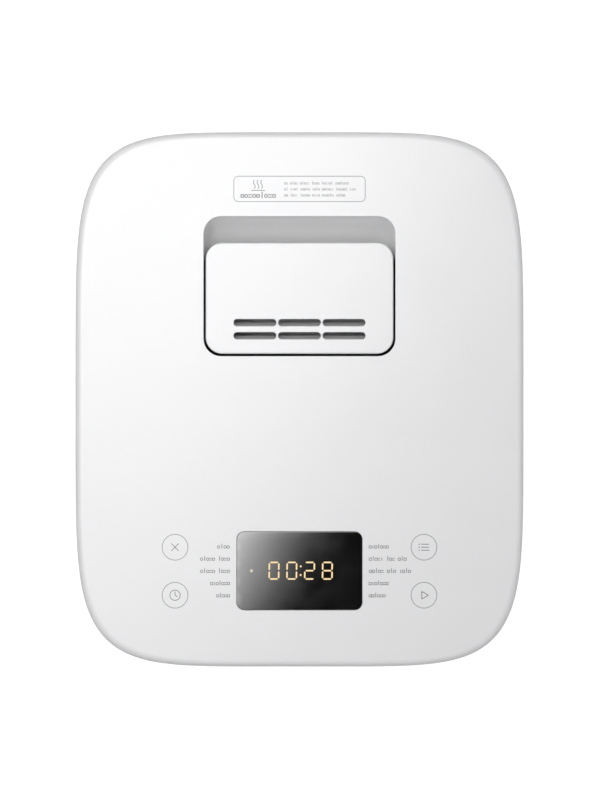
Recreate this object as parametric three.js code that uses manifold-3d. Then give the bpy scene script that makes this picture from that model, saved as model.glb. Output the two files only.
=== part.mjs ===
// Electric rice cooker: a round-cornered body with a sprung, hinged lid, a coated pot that stands on
// a cast heating plate, a push-button latch, and a steam valve that lifts out of a well in the lid.
//
// Millimetres, +Z up. The front is towards -Y and the hinge towards +Y. The origin is on the table,
// under the middle of the body.
import * as THREE from "three";
import { mergeVertices } from "three/addons/utils/BufferGeometryUtils.js";
import Module from "manifold-3d";

// ---- Driving dimensions -------------------------------------------------------------------------

const width = 270;
const depth = 322;
const bodyTop = 176; // top edge of the body wall, above the table
const lidHeight = 52.4; // from the lid's lower edge to the middle of its top
const partingGap = 1.6; // slit between body and lid
const cornerExponent = 5.5; // superellipse: 2 is an ellipse, more is squarer
const wall = 2.6; // moulded plastic walls
const gap = 0.4; // clearance between pieces that sit in each other
const touch = 0.3; // gap between pieces that rest on each other

// Body wall
const draft = 5; // how far the wall leans in from its top edge to the bottom
const bottomRound = 6;

// Lid shell
const lidRound = 4; // edge radius round the top
const crown = 1.6; // how far the top falls from its middle to the middle of an edge, about

// Facets
const outlineSides = 40;
const roundSides = 30;
const heatSides = 22;
const smallSides = 14;

// Base
const footHeight = 4;
const footRadius = 9;
const footInset = 40; // foot centre from the widest outline, both ways
const baseThickness = 3;
const electronicsRoom = 21; // under the liner
const screwRadius = 1.6;
const screwHeadRadius = 3.4;

// Pot, liner and heater
const sideRoom = 31; // pot wall to the widest outline at the sides
const endRoom = 57; // and at the front and back, where latch and hinge stand
const potShift = 2; // pot axis behind the middle
const potWall = 2;
const potBottom = 2.5;
const potCorner = 38; // inside radius between wall and bottom
const flangeReach = 6.5; // pot rim beyond the pot wall
const flangeThickness = 2;
const flangeDrop = 0.7; // top of the pot rim below the body's top edge
const linerSheet = 1.2;
const linerRoom = 4.5; // between pot wall and liner
const heaterThickness = 12;
const heaterStand = 3.5; // heating plate above the liner's floor
const heaterBandHeight = 40;
const sensorRadius = 17;
const sensorTravel = 3;

// Top frame, the collar round the pot's mouth
const deckThickness = 3;
const deckDrop = 5.5; // deck below the body's top edge
const seatWidth = 7;
const lipWidth = 5.5;
const lipHeight = 4.3;

// Hinge
const hingeRearRoom = 8.5; // hinge axis to the back face
const hingeDrop = 22.5; // hinge axis below the body's top edge
const hingePinRadius = 2.5;
const hingeHalfWidth = 54;
const hingeEarThickness = 4;
const springWire = 1.3;

// Latch and its button
const buttonWidth = 52;
const buttonHeight = 18;
const buttonClear = 0.5; // button flange to the deck above it
const buttonFlange = { width: buttonWidth + 8, height: buttonHeight + 4 }; // behind the wall
const buttonRecess = 0.4; // button face behind the widest outline
const leverHalfWidth = 8;
const leverThickness = 5;
const leverSetback = 12.5; // lever's front face behind the outside of the front wall
const leverPivotDrop = 36; // pivot below the button's axis
const latchPinRadius = 2;
const hookReach = 3.5;

// Power inlet in the back wall
const inletX = 62;
const inletHeight = 34;
const inletMouth = { width: 24.6, height: 16.8, depth: 17 };
const inletBody = { width: inletMouth.width + 6, height: inletMouth.height + 6 };

// Inner lid and lid pan, measured from the lid's lower edge
const frameRise = 0.9;
const frameThickness = 2.5;
const panRise = 12.4; // underside of the pan's floor
const panRoom = 1; // gasket to pan wall
const innerLidSheet = 1.2;

// Steam valve and its well
const wellWidth = 115.4;
const wellLength = 84.1;
const wellCorner = 10.5;
const wellRearRoom = 50.9; // back of the well to the back of the lid
const wellWall = 2;
const wellStand = 7.5; // well floor above the pan
const capSideGap = 1.05;
const capRearGap = 15.9; // finger gap behind the cap
const capWall = 2.2;
const capSkirt = 13;
const slotLength = 25.7;
const slotHeight = 4.3;
const slotPitch = 26.8;
const slotRows = [11.2, 19.1]; // from the cap's front edge
const tubeRadius = 9;
const tubeWall = 2;
const sealThickness = 3.1;
const ballRadius = 8.5;

// Display and touch keys
const windowWidth = 75.5;
const windowLength = 47.2;
const windowCorner = 4.7;
const windowFrontRoom = 57.8; // window centre to the front of the lid
const windowThickness = 2;
const keyX = 74.9;
const keyRows = [14.2, -14.7]; // key centres behind and in front of the window's centre
const boardMargin = 9;
const boardDrop = 16.4; // board top below the lid's top
const boardThickness = 1.6;

// ---- Levels and places worked out from them -----------------------------------------------------

const lidBottom = bodyTop + partingGap;
const halfWidth = width / 2;
const halfDepth = depth / 2;
const potRadius = Math.min(halfWidth - sideRoom, halfDepth - endRoom); // outside
const baseTop = footHeight + baseThickness;
const linerBottom = baseTop + electronicsRoom;
const linerInside = potRadius + linerRoom;
const heaterBottom = linerBottom + linerSheet + heaterStand;
const heaterTop = heaterBottom + heaterThickness;
const potFoot = heaterTop + touch;
const flangeTop = bodyTop - flangeDrop;
const flangeRadius = potRadius + flangeReach;
const deckTop = bodyTop - deckDrop;
const deckBottom = deckTop - deckThickness;
const seatTop = flangeTop - flangeThickness - gap;
const seatInside = potRadius + 2.5;
const lipInside = Math.max(flangeRadius + 1, seatInside + 1);
const hingeY = halfDepth - hingeRearRoom;
const hingeZ = bodyTop - hingeDrop;
const buttonZ = deckBottom - buttonClear - buttonFlange.height / 2;
const pivotZ = buttonZ - leverPivotDrop;
const leverFront = -halfDepth + leverSetback;
const leverBack = leverFront + leverThickness;
const pivotY = leverFront + leverThickness / 2;
const wellBack = halfDepth - wellRearRoom;
const wellFront = wellBack - wellLength;
const capFront = wellFront + capSideGap;
const capBack = wellBack - capRearGap;
const windowY = -halfDepth + windowFrontRoom;
const panInside = flangeRadius + panRoom;
const panWall = 2;
const panTop = panRise + frameThickness;
const wellFloor = panTop + wellStand + wellWall; // upper face of the well's floor
const capSkirtBottom = lidHeight - capSkirt - 1;
const valveY = (capFront + capBack) / 2;

// ---- Shape helpers ------------------------------------------------------------------------------

const wasm = await Module();
wasm.setup();

// A closed geometry as a solid that can be cut and joined.
function solidOf(geometry) {
  const loose = geometry.index ? geometry.toNonIndexed() : geometry;
  const bare = new THREE.BufferGeometry().setAttribute("position", loose.getAttribute("position"));
  const merged = mergeVertices(bare, 1e-4);
  const corner = (i) => new THREE.Vector3().fromBufferAttribute(merged.attributes.position, i);
  const triangles = [];
  let volume = 0;
  for (let i = 0; i < merged.index.count; i += 3) {
    const [a, b, c] = merged.index.array.subarray(i, i + 3);
    if (a === b || b === c || c === a) continue;
    triangles.push([a, b, c]);
    volume += corner(a).dot(corner(b).cross(corner(c)));
  }
  const facingOut = volume > 0 ? triangles : triangles.map(([a, b, c]) => [a, c, b]);
  return new wasm.Manifold(
    new wasm.Mesh({
      numProp: 3,
      vertProperties: merged.attributes.position.array,
      triVerts: Uint32Array.from(facingOut.flat()),
    }),
  );
}

// And back to a geometry.
function geometryOf(solid) {
  const mesh = solid.getMesh();
  return new THREE.BufferGeometry()
    .setAttribute("position", new THREE.BufferAttribute(mesh.vertProperties, 3))
    .setIndex(new THREE.BufferAttribute(mesh.triVerts, 1));
}

function join(...solids) {
  return solids.reduce((whole, next) => whole.add(next));
}

function cut(solid, ...tools) {
  return tools.reduce((left, tool) => left.subtract(tool), solid);
}

function moved(solid, x, y, z = 0) {
  return solidOf(geometryOf(solid).translate(x, y, z));
}

// A box between two values on each axis.
function box([x0, x1], [y0, y1], [z0, z1]) {
  const geometry = new THREE.BoxGeometry(x1 - x0, y1 - y0, z1 - z0);
  return solidOf(geometry.translate((x0 + x1) / 2, (y0 + y1) / 2, (z0 + z1) / 2));
}

function extrude(shape, length, curveSegments) {
  return new THREE.ExtrudeGeometry(shape, { depth: length, bevelEnabled: false, curveSegments });
}

// A shape drawn in X and Y, standing between two heights.
function upright(shape, low, high, curveSegments = 5) {
  return solidOf(extrude(shape, high - low, curveSegments).translate(0, 0, low));
}

// A shape drawn in Y and Z, running along X.
function alongX(shape, low, high, curveSegments = 5) {
  const turn = new THREE.Matrix4().makeBasis(
    new THREE.Vector3(0, 1, 0),
    new THREE.Vector3(0, 0, 1),
    new THREE.Vector3(1, 0, 0),
  );
  return solidOf(extrude(shape, high - low, curveSegments).applyMatrix4(turn).translate(low, 0, 0));
}

// A shape drawn in X and Z, running along Y.
function alongY(shape, low, high, curveSegments = 5) {
  return solidOf(extrude(shape, high - low, curveSegments).rotateX(Math.PI / 2).translate(0, high, 0));
}

// A profile of [radius, height] points turned about the Z axis. It closes on itself.
function turned(profile, sides = roundSides) {
  const points = profile.map(([radius, height]) => new THREE.Vector2(radius, height));
  const geometry = new THREE.LatheGeometry([...points, points[0].clone()], sides);
  return solidOf(geometry.rotateX(Math.PI / 2));
}

function disc(radius, low, high, sides = smallSides) {
  return turned([[0, low], [radius, low], [radius, high], [0, high]], sides);
}

function ring(inside, outside, low, high, sides = roundSides) {
  return turned([[inside, low], [outside, low], [outside, high], [inside, high]], sides);
}

// A round bar along X.
function barX(radius, low, high, y, z, sides = smallSides) {
  const geometry = new THREE.CylinderGeometry(radius, radius, high - low, sides);
  return solidOf(geometry.rotateZ(Math.PI / 2).translate((low + high) / 2, y, z));
}

// A round wire or cable along a curve.
function tube(curve, radius, steps, sides) {
  const section = new THREE.Shape();
  for (let i = 0; i < sides; i++) {
    const angle = (i / sides) * 2 * Math.PI;
    const point = [radius * Math.cos(angle), radius * Math.sin(angle)];
    if (i === 0) section.moveTo(...point);
    else section.lineTo(...point);
  }
  return solidOf(new THREE.ExtrudeGeometry(section, { steps, extrudePath: curve }));
}

// A cable through hand-placed points.
function cable(points, radius, steps) {
  const curve = new THREE.CatmullRomCurve3(points.map((point) => new THREE.Vector3(...point)));
  return tube(curve, radius, steps, 8);
}

class Helix extends THREE.Curve {
  constructor(radius, low, high, turns) {
    super();
    Object.assign(this, { radius, low, high, turns });
  }

  getPoint(t, target = new THREE.Vector3()) {
    const angle = t * this.turns * 2 * Math.PI;
    const height = this.low + t * (this.high - this.low);
    return target.set(this.radius * Math.cos(angle), this.radius * Math.sin(angle), height);
  }
}

// A coil spring standing on Z, with its wire inside the two heights.
function coil(radius, low, high, turns, wire) {
  const helix = new Helix(radius, low + wire, high - wire, turns);
  return tube(helix, wire / 2, turns * 6, 4);
}

function roundedRectangle(length, height, radius, x = 0, y = 0) {
  const shape = new THREE.Shape();
  const right = x + length / 2 - radius;
  const left = x - length / 2 + radius;
  const top = y + height / 2 - radius;
  const bottom = y - height / 2 + radius;
  shape.absarc(right, top, radius, 0, Math.PI / 2);
  shape.absarc(left, top, radius, Math.PI / 2, Math.PI);
  shape.absarc(left, bottom, radius, Math.PI, 1.5 * Math.PI);
  shape.absarc(right, bottom, radius, 1.5 * Math.PI, 2 * Math.PI);
  shape.closePath();
  return shape;
}

function polygon(points) {
  return new THREE.Shape(points.map(([x, y]) => new THREE.Vector2(x, y)));
}

// The cooker's plan outline, moved in by inset, at a height that may depend on the place.
function outline(inset, height) {
  const points = [];
  const reach = (share, half) => Math.sign(share) * Math.abs(share) ** (2 / cornerExponent) * half;
  for (let i = 0; i < outlineSides; i++) {
    const angle = (i / outlineSides) * 2 * Math.PI;
    const x = reach(Math.cos(angle), halfWidth - inset);
    const y = reach(Math.sin(angle), halfDepth - inset);
    points.push(new THREE.Vector3(x, y, typeof height === "function" ? height(x, y) : height));
  }
  return points;
}

// A solid skinned over rings of equally many points, from the lowest to the highest, and closed by
// a fan at both ends. The fans meet in the middle, at the heights given.
function skinned(rings, bottomZ = rings[0][0].z, topZ = rings.at(-1)[0].z) {
  const count = rings[0].length;
  const points = rings.flat();
  const bottom = points.push(new THREE.Vector3(0, 0, bottomZ)) - 1;
  const top = points.push(new THREE.Vector3(0, 0, topZ)) - 1;
  const index = [];
  const lastRing = (rings.length - 1) * count;
  for (let i = 0; i < count; i++) {
    const next = (i + 1) % count;
    for (let r = 0; r < lastRing; r += count) {
      index.push(r + i, r + next, r + count + next, r + i, r + count + next, r + count + i);
    }
    index.push(bottom, next, i, top, lastRing + i, lastRing + next);
  }
  return solidOf(new THREE.BufferGeometry().setFromPoints(points).setIndex(index));
}

// A flat plate with the cooker's outline.
function plate(inset, low, high) {
  return skinned([outline(inset, low), outline(inset, high)]);
}

// ---- Finishes -----------------------------------------------------------------------------------

function finish(color, roughness, metalness = 0) {
  return new THREE.MeshStandardMaterial({ color, roughness, metalness, flatShading: true });
}

const glossWhite = finish(0xf2f2f4, 0.18);
const satinWhite = finish(0xe9e9ec, 0.45);
const greyPlastic = finish(0x8d8f93, 0.6);
const blackPlastic = finish(0x1b1c1e, 0.5);
const smokedWindow = finish(0x0c0c0d, 0.06);
const rubber = finish(0x3a3b3d, 0.9);
const silicone = finish(0xcfd2d4, 0.7);
const steel = finish(0xb9bcc0, 0.35, 1);
const galvanised = finish(0xa3a7ab, 0.5, 1);
const aluminium = finish(0xc9cbce, 0.4, 1);
const castAluminium = finish(0x9b9da0, 0.55, 1);
const potCoating = finish(0x2c2d30, 0.45, 0.2);
const circuitBoard = finish(0x1f5a3a, 0.6);
const cableSheath = finish(0xdcdcda, 0.7);

// ---- The assembly -------------------------------------------------------------------------------

const cooker = new THREE.Group();
const body = new THREE.Group();
const heatCentre = new THREE.Group(); // on the pot's axis
const lid = new THREE.Group(); // measured from its own lower edge
const valve = new THREE.Group(); // measured from the lid's lower edge, on the valve's tube
heatCentre.position.set(0, potShift, 0);
lid.position.set(0, 0, lidBottom);
valve.position.set(0, valveY, 0);
cooker.add(body, heatCentre, lid);
lid.add(valve);

function add(group, name, solid, material, x = 0, y = 0, z = 0) {
  const mesh = new THREE.Mesh(geometryOf(solid), material);
  mesh.name = name;
  mesh.position.set(x, y, z);
  group.add(mesh);
}

// ---- Body shell and base ------------------------------------------------------------------------

// How far the wall's outside is inside the widest outline at a height.
function bodyInset(z) {
  const fall = (bodyTop - z) / (bodyTop - footHeight);
  const up = Math.min(z - footHeight, bottomRound);
  const roundOff = bottomRound - Math.sqrt(bottomRound ** 2 - (bottomRound - up) ** 2);
  return draft * Math.max(fall, 0) ** 1.6 + roundOff;
}

const bodyLevels = [0, 0.3, 1]
  .map((share) => footHeight + share * bottomRound)
  .concat([0.5, 1].map((share) => footHeight + share * (bodyTop - footHeight)));

const footPlaces = [
  ["front_left", -1, -1],
  ["front_right", 1, -1],
  ["rear_left", -1, 1],
  ["rear_right", 1, 1],
];
const footX = halfWidth - footInset;
const footY = halfDepth - footInset;
const screwX = footX - 11;
const screwY = footY + 10;
const bossRadius = 4.4;
const bossTop = linerBottom + 8;

const postHeight = 4; // board above the base plate
const boardX = [-60, 60];
const boardLength = 56;
const boardFrontRoom = 11; // board to the widest outline at the front
const boardY = [boardFrontRoom - halfDepth, boardFrontRoom - halfDepth + boardLength];

// The solid that the body's outside encloses, grown by an amount.
function bodySolid(grown) {
  return skinned(bodyLevels.map((z) => outline(bodyInset(z) - grown, z)));
}

// One-piece moulded wall, open at top and bottom, with a ribbed boss for each base screw.
function outerHousing() {
  const outside = bodySolid(0);
  const insideLevels = [footHeight - 1, ...bodyLevels.slice(1), bodyTop + 1];
  const inset = (z) => bodyInset(Math.min(Math.max(z, footHeight), bodyTop)) + wall;
  const inside = skinned(insideLevels.map((z) => outline(inset(z), z)));
  const bosses = footPlaces.map(([, sideX, sideY]) => {
    const [x, y] = [sideX * screwX, sideY * screwY];
    const ribY = [Math.min(y, sideY * halfDepth), Math.max(y, sideY * halfDepth)];
    const rib = box([x - 1, x + 1], ribY, [baseTop + gap, bossTop]);
    return moved(disc(bossRadius, baseTop + gap, bossTop, 10), x, y).add(rib).intersect(outside);
  });
  const bossHoles = footPlaces.map(([, sideX, sideY]) =>
    moved(disc(screwRadius + touch, baseTop - 1, bossTop - 3, 8), sideX * screwX, sideY * screwY),
  );
  const buttonHole = alongY(
    roundedRectangle(buttonWidth + 2 * gap, buttonHeight + 2 * gap, buttonHeight / 2, 0, buttonZ),
    -halfDepth - 1,
    -halfDepth + wall + 2,
  );
  const hingeNotch = box(
    [-hingeHalfWidth - 1, hingeHalfWidth + 1],
    [halfDepth - wall - 3, halfDepth + 1],
    [hingeZ - hingeRearRoom - 0.8, bodyTop + 1],
  );
  const inletHole = alongY(
    roundedRectangle(inletBody.width + 2 * gap, inletBody.height + 2 * gap, 3, inletX, inletHeight),
    halfDepth - wall - 12,
    halfDepth + 1,
  );
  return cut(join(outside.subtract(inside), ...bosses), ...bossHoles, buttonHole, hingeNotch, inletHole);
}

// Flat cover under the body, with vents under the electronics and four posts for the board.
function basePlate() {
  const slab = plate(bodyInset(footHeight) + wall + gap, footHeight, baseTop);
  const posts = boardX.flatMap((x) =>
    boardY.map((y) => {
      const inward = 6;
      const [postX, postY] = [x - Math.sign(x) * inward, y + (y === boardY[0] ? inward : -inward)];
      return moved(disc(3, baseTop - 1, baseTop + postHeight - touch, 8), postX, postY);
    }),
  );
  const vents = [-40, -20, 0, 20, 40].map((x) =>
    upright(roundedRectangle(6, 34, 2.9, x, -40), footHeight - 1, baseTop + 1, 2),
  );
  const holes = footPlaces.flatMap(([, sideX, sideY]) => [
    moved(disc(4 + gap, footHeight - 1, baseTop + 1, 12), sideX * footX, sideY * footY),
    moved(disc(screwRadius + gap, footHeight - 1, baseTop + 1, 8), sideX * screwX, sideY * screwY),
  ]);
  return cut(join(slab, ...posts), ...vents, ...holes);
}

add(body, "outer_housing", outerHousing(), glossWhite);
add(body, "base_plate", basePlate(), satinWhite);

// Rubber feet, each held by a barbed stem through the base plate.
const foot = turned(
  [
    [0, 0],
    [footRadius - 1.5, 0],
    [footRadius, footHeight - touch],
    [4, footHeight - touch],
    [4, baseTop + touch],
    [5.4, baseTop + touch],
    [3, baseTop + 3],
    [0, baseTop + 3],
  ],
  smallSides,
);
// Pan-head screws up through the base plate into the bosses.
const baseScrew = turned(
  [
    [0, footHeight - 2.3],
    [screwHeadRadius, footHeight - 2.3],
    [screwHeadRadius, footHeight - touch],
    [screwRadius, footHeight - touch],
    [screwRadius, baseTop + 12],
    [0, baseTop + 12],
  ],
  8,
);
for (const [place, sideX, sideY] of footPlaces) {
  add(body, `foot_${place}`, foot, rubber, sideX * footX, sideY * footY);
  add(body, `base_screw_${place}`, baseScrew, steel, sideX * screwX, sideY * screwY);
}

// ---- Top frame: the collar round the pot's mouth ------------------------------------------------

const deckInset = wall + gap;
const channelHalf = leverHalfWidth + 1.4;
const channelWall = 2.6;
const channelFront = leverFront - 3.5;
const springSeat = leverBack + 12; // front of the channel's back wall
const channelBottom = pivotZ - 6;

function topFrame() {
  const level = (z) => outline(bodyInset(z) + deckInset, z);
  const skirtBottom = deckBottom - 8;
  const slab = skinned([level(skirtBottom), level(deckTop)]);
  const hollow = skinned([
    outline(bodyInset(skirtBottom) + deckInset + 2.2, skirtBottom - 1),
    outline(bodyInset(deckBottom) + deckInset + 2.2, deckBottom),
  ]);
  const seat = ring(seatInside, seatInside + seatWidth, deckBottom, seatTop);
  const lip = ring(lipInside, lipInside + lipWidth, deckBottom, deckTop + lipHeight);
  const mouth = disc(seatInside, skirtBottom, bodyTop, roundSides);
  const rings = [seat, lip, mouth].map((part) => moved(part, 0, potShift));
  // The latch lever works in a channel under the deck, open to the front.
  const outsideHalf = channelHalf + channelWall;
  const channel = box(
    [-outsideHalf, outsideHalf],
    [channelFront, springSeat + channelWall],
    [channelBottom, deckBottom + 1],
  );
  const channelRoom = box(
    [-channelHalf, channelHalf],
    [channelFront - 1, springSeat],
    [channelBottom - 1, bodyTop + 1],
  );
  const pinHole = barX(latchPinRadius + touch, -halfWidth / 2, halfWidth / 2, pivotY, pivotZ, 10);
  const hingeSlot = box(
    [-hingeHalfWidth - 1, hingeHalfWidth + 1],
    [hingeY - hingeRearRoom - 1, halfDepth],
    [skirtBottom - 1, bodyTop],
  );
  const buttonRoom = box(
    [-buttonFlange.width / 2 - 1, buttonFlange.width / 2 + 1],
    [-halfDepth, channelFront],
    [skirtBottom - 1, deckBottom],
  );
  const deck = cut(slab, hollow, rings[2], buttonRoom);
  // The skirt leaves room for the hinge brackets too.
  const bracketHalf = hingeHalfWidth + hingeEarThickness + 20;
  const bracketRoom = box(
    [-bracketHalf, bracketHalf],
    [hingeY - hingeRearRoom - 6, halfDepth],
    [skirtBottom - 1, deckBottom],
  );
  return cut(join(deck, rings[0], rings[1], channel), channelRoom, pinHole, hingeSlot, bracketRoom);
}

add(body, "top_frame", topFrame(), satinWhite);

// ---- Liner, heaters and sensor, on the pot's axis -----------------------------------------------

const plateRadius = potRadius - potCorner + 12;
const sensorHole = sensorRadius + 1.2;
const linerTop = deckBottom - touch;

// Deep-drawn sheet pan that hangs from the frame and shields the housing from the heat.
const heaterLiner = turned([
  [sensorHole + 2, linerBottom],
  [linerInside - 6, linerBottom],
  [linerInside + linerSheet, linerBottom + 7],
  [linerInside + linerSheet, linerTop - linerSheet],
  [linerInside + linerSheet + 5, linerTop - linerSheet],
  [linerInside + linerSheet + 5, linerTop],
  [linerInside, linerTop],
  [linerInside, linerBottom + linerSheet + 6.5],
  [linerInside - 6.5, linerBottom + linerSheet],
  [sensorHole + 2, linerBottom + linerSheet],
], heatSides);
// Cast plate with the heating element in it; its ring foot stands on the liner.
const heatingPlate = turned([
  [sensorHole, heaterBottom],
  [plateRadius - 22, heaterBottom],
  [plateRadius - 22, linerBottom + linerSheet + touch],
  [plateRadius - 16, linerBottom + linerSheet + touch],
  [plateRadius - 16, heaterBottom],
  [plateRadius - 4, heaterBottom],
  [plateRadius, heaterBottom + 4],
  [plateRadius, heaterTop - 1.5],
  [plateRadius - 14, heaterTop],
  [sensorHole, heaterTop],
], heatSides);
const bandBottom = linerBottom + 46;
const heaterBand = ring(
  linerInside + linerSheet + touch,
  linerInside + linerSheet + touch + 1.6,
  bandBottom,
  bandBottom + heaterBandHeight,
  heatSides,
);
add(heatCentre, "heater_liner", heaterLiner, galvanised);
add(heatCentre, "heating_plate", heatingPlate, castAluminium);
add(heatCentre, "side_heater_band", heaterBand, greyPlastic);

// The centre sensor: a sprung cap that the pot's bottom presses down, over a fixed cup.
const sensorFloor = linerBottom - 11;
const sensorCapBottom = linerBottom + linerSheet + sensorTravel + 1;
const sensorCap = turned([
  [0, heaterTop - 1.5],
  [sensorRadius - 1.5, heaterTop - 1.5],
  [sensorRadius - 1.5, sensorCapBottom],
  [sensorRadius, sensorCapBottom],
  [sensorRadius, heaterTop - 1],
  [sensorRadius - 1, heaterTop],
  [0, heaterTop],
], heatSides);
const sensorCup = turned([
  [0, sensorFloor - 1.5],
  [12, sensorFloor - 1.5],
  [12, linerBottom - touch - 1.5],
  [sensorHole + 7, linerBottom - touch - 1.5],
  [sensorHole + 7, linerBottom - touch],
  [12, linerBottom - touch],
  [12, linerBottom + 6],
  [10.5, linerBottom + 6],
  [10.5, sensorFloor],
  [0, sensorFloor],
], smallSides);
add(heatCentre, "sensor_cap", sensorCap, aluminium);
add(heatCentre, "sensor_housing", sensorCup, greyPlastic);
add(heatCentre, "sensor_spring", coil(8, sensorFloor + touch, heaterTop - 1.5 - touch, 5, 1.2), steel);

// ---- Pot ----------------------------------------------------------------------------------------

// Points of a quarter arc about a centre, from straight down to straight out.
function quarterArc(centreR, centreZ, radius, steps) {
  return Array.from({ length: steps + 1 }, (_, i) => {
    const angle = (i / steps) * (Math.PI / 2);
    return [centreR + radius * Math.sin(angle), centreZ - radius * Math.cos(angle)];
  });
}

const arcCentreR = potRadius - potWall - potCorner;
const arcCentreZ = potFoot + potBottom + potCorner;
const pot = turned([
  [0, potFoot],
  ...quarterArc(arcCentreR, potFoot + potWall + potCorner, potCorner + potWall, 5),
  [potRadius, flangeTop - flangeThickness],
  [flangeRadius, flangeTop - flangeThickness],
  [flangeRadius, flangeTop],
  [potRadius - potWall, flangeTop],
  ...quarterArc(arcCentreR, arcCentreZ, potCorner, 5).reverse(),
  [0, potFoot + potBottom],
]);
add(heatCentre, "inner_pot", pot, potCoating);

// ---- Electronics --------------------------------------------------------------------------------

const boardBottom = baseTop + postHeight;
const boardTop = boardBottom + boardThickness;
const partsOnBoard = boardTop + touch;
const partsY = boardY[0] + 18;
const boardCentreX = (boardX[0] + boardX[1]) / 2;
const boardShape = (x0, x1, y0, y1) => roundedRectangle(x1 - x0, y1 - y0, 2, (x0 + x1) / 2, (y0 + y1) / 2);
const powerBoard = upright(boardShape(...boardX, ...boardY), boardBottom, boardTop, 2);
const transformerX = boardCentreX - 36;
const aroundParts = (half) => [partsY - half, partsY + half];
const overBoard = (low, high) => [partsOnBoard + low, partsOnBoard + high];
const core = box([transformerX - 16, transformerX + 16], aroundParts(7), overBoard(0, 27));
const winding = box([transformerX - 11, transformerX + 11], aroundParts(13), overBoard(5, 22));
add(body, "power_board", powerBoard, circuitBoard);
add(body, "transformer", join(core, winding), galvanised);
add(body, "relay", box([-9.5, 9.5], aroundParts(7.5), overBoard(0, 16)), blackPlastic);
add(body, "capacitor", disc(8, partsOnBoard, partsOnBoard + 24), blackPlastic, boardX[1] - 22, partsY);

// Appliance inlet with three blades, its flange shaped to the wall behind it.
function powerInlet() {
  const face = halfDepth - bodyInset(inletHeight) + 2;
  const bodyBack = face - inletMouth.depth - 6;
  const flange = alongY(
    roundedRectangle(inletBody.width + 7, inletBody.height + 7, 4, inletX, inletHeight),
    halfDepth - wall - 12,
    face,
  ).subtract(bodySolid(touch));
  const block = alongY(
    roundedRectangle(inletBody.width, inletBody.height, 2.6, inletX, inletHeight),
    bodyBack,
    face,
  );
  const [halfMouth, halfRise] = [inletMouth.width / 2, inletMouth.height / 2];
  const chamfer = 5;
  const mouth = polygon([
    [inletX - halfMouth, inletHeight - halfRise],
    [inletX + halfMouth, inletHeight - halfRise],
    [inletX + halfMouth, inletHeight + halfRise - chamfer],
    [inletX + halfMouth - chamfer, inletHeight + halfRise],
    [inletX - halfMouth + chamfer, inletHeight + halfRise],
    [inletX - halfMouth, inletHeight + halfRise - chamfer],
  ]);
  const blades = [[-7, -2], [0, 2], [7, -2]].map(([x, z]) =>
    box(
      [inletX + x - 1, inletX + x + 1],
      [bodyBack + 1, face - 4],
      [inletHeight + z - 2, inletHeight + z + 2],
    ),
  );
  const socket = join(flange, block).subtract(alongY(mouth, face - inletMouth.depth, face + 1));
  return join(socket, ...blades);
}

add(body, "power_inlet", powerInlet(), blackPlastic);
const leadStart = halfDepth - bodyInset(inletHeight) - inletMouth.depth - 4 - 2 * touch;
const inletLead = cable(
  [
    [inletX, leadStart, inletHeight],
    [inletX, leadStart - 4, inletHeight - 0.5],
    [inletX + 2, leadStart - 14, inletHeight - 9],
    [inletX + 12, leadStart - 40, baseTop + 9],
    [inletX + 14, 20, baseTop + 8],
    [inletX + 4, -50, baseTop + 8],
    [boardX[1] - 8, boardY[1] - 8, boardTop + 5],
  ],
  2.8,
  22,
);
add(body, "inlet_lead", inletLead, cableSheath);

// ---- Latch --------------------------------------------------------------------------------------

const buttonFace = -halfDepth + buttonRecess;
const flangeFront = -halfDepth + wall + 1.2;
const catchBottom = lidBottom + frameRise + frameThickness + touch;
const catchTop = catchBottom + 2;
const hookBottom = catchTop + 0.5;
const hookTop = hookBottom + 4;

// Push button: a pill in the front wall, a flange that stops it behind the wall, and a stem.
const buttonPill = roundedRectangle(buttonWidth, buttonHeight, buttonHeight / 2 - 0.1, 0, buttonZ);
const flangeShape = roundedRectangle(buttonFlange.width, buttonFlange.height, 4, 0, buttonZ);
const releaseButton = join(
  alongY(buttonPill, buttonFace, flangeFront + 1),
  alongY(flangeShape, flangeFront, flangeFront + 1.6),
  box([-5, 5], [flangeFront + 1, leverFront - touch], [buttonZ - 2, buttonZ + 2]),
);
// Lever with the hook that holds the lid's catch, on a pin across the channel.
const leverProfile = polygon([
  [leverFront, pivotZ - 5],
  [leverBack, pivotZ - 5],
  [leverBack, hookTop - 2],
  [leverBack - 2, hookTop],
  [leverFront, hookTop],
  [leverFront - hookReach, hookBottom + 1],
  [leverFront - hookReach, hookBottom],
  [leverFront, hookBottom],
]);
const pinHalf = channelHalf + channelWall;
const boreHalf = leverHalfWidth + 1;
const leverPin = barX(latchPinRadius, -pinHalf, pinHalf, pivotY, pivotZ, 12);
const pinBore = barX(latchPinRadius + touch, -boreHalf, boreHalf, pivotY, pivotZ, 12);
const latchLever = alongX(leverProfile, -leverHalfWidth, leverHalfWidth).subtract(pinBore);
const returnSpring = coil(4.2, leverBack + touch, springSeat - touch, 5, 1);
add(body, "release_button", releaseButton, glossWhite);
add(body, "latch_lever", latchLever, greyPlastic);
add(body, "latch_pin", leverPin, steel);
// The spring lies along Y between the lever and the channel's back wall.
const springMesh = new THREE.Mesh(geometryOf(returnSpring), steel);
springMesh.name = "button_spring";
springMesh.rotation.x = -Math.PI / 2;
springMesh.position.set(0, 0, buttonZ);
body.add(springMesh);

// ---- Hinge --------------------------------------------------------------------------------------

const earStart = hingeHalfWidth + 2;
const earEnd = earStart + hingeEarThickness;
const tabLength = 12;
const earFront = hingeY - 12;
const earBottom = hingeZ - 8;
const springStart = 18;
const springEnd = 42;
const springRadius = hingePinRadius + 1.6;
const hingeRadius = hingeRearRoom - buttonRecess;

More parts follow.
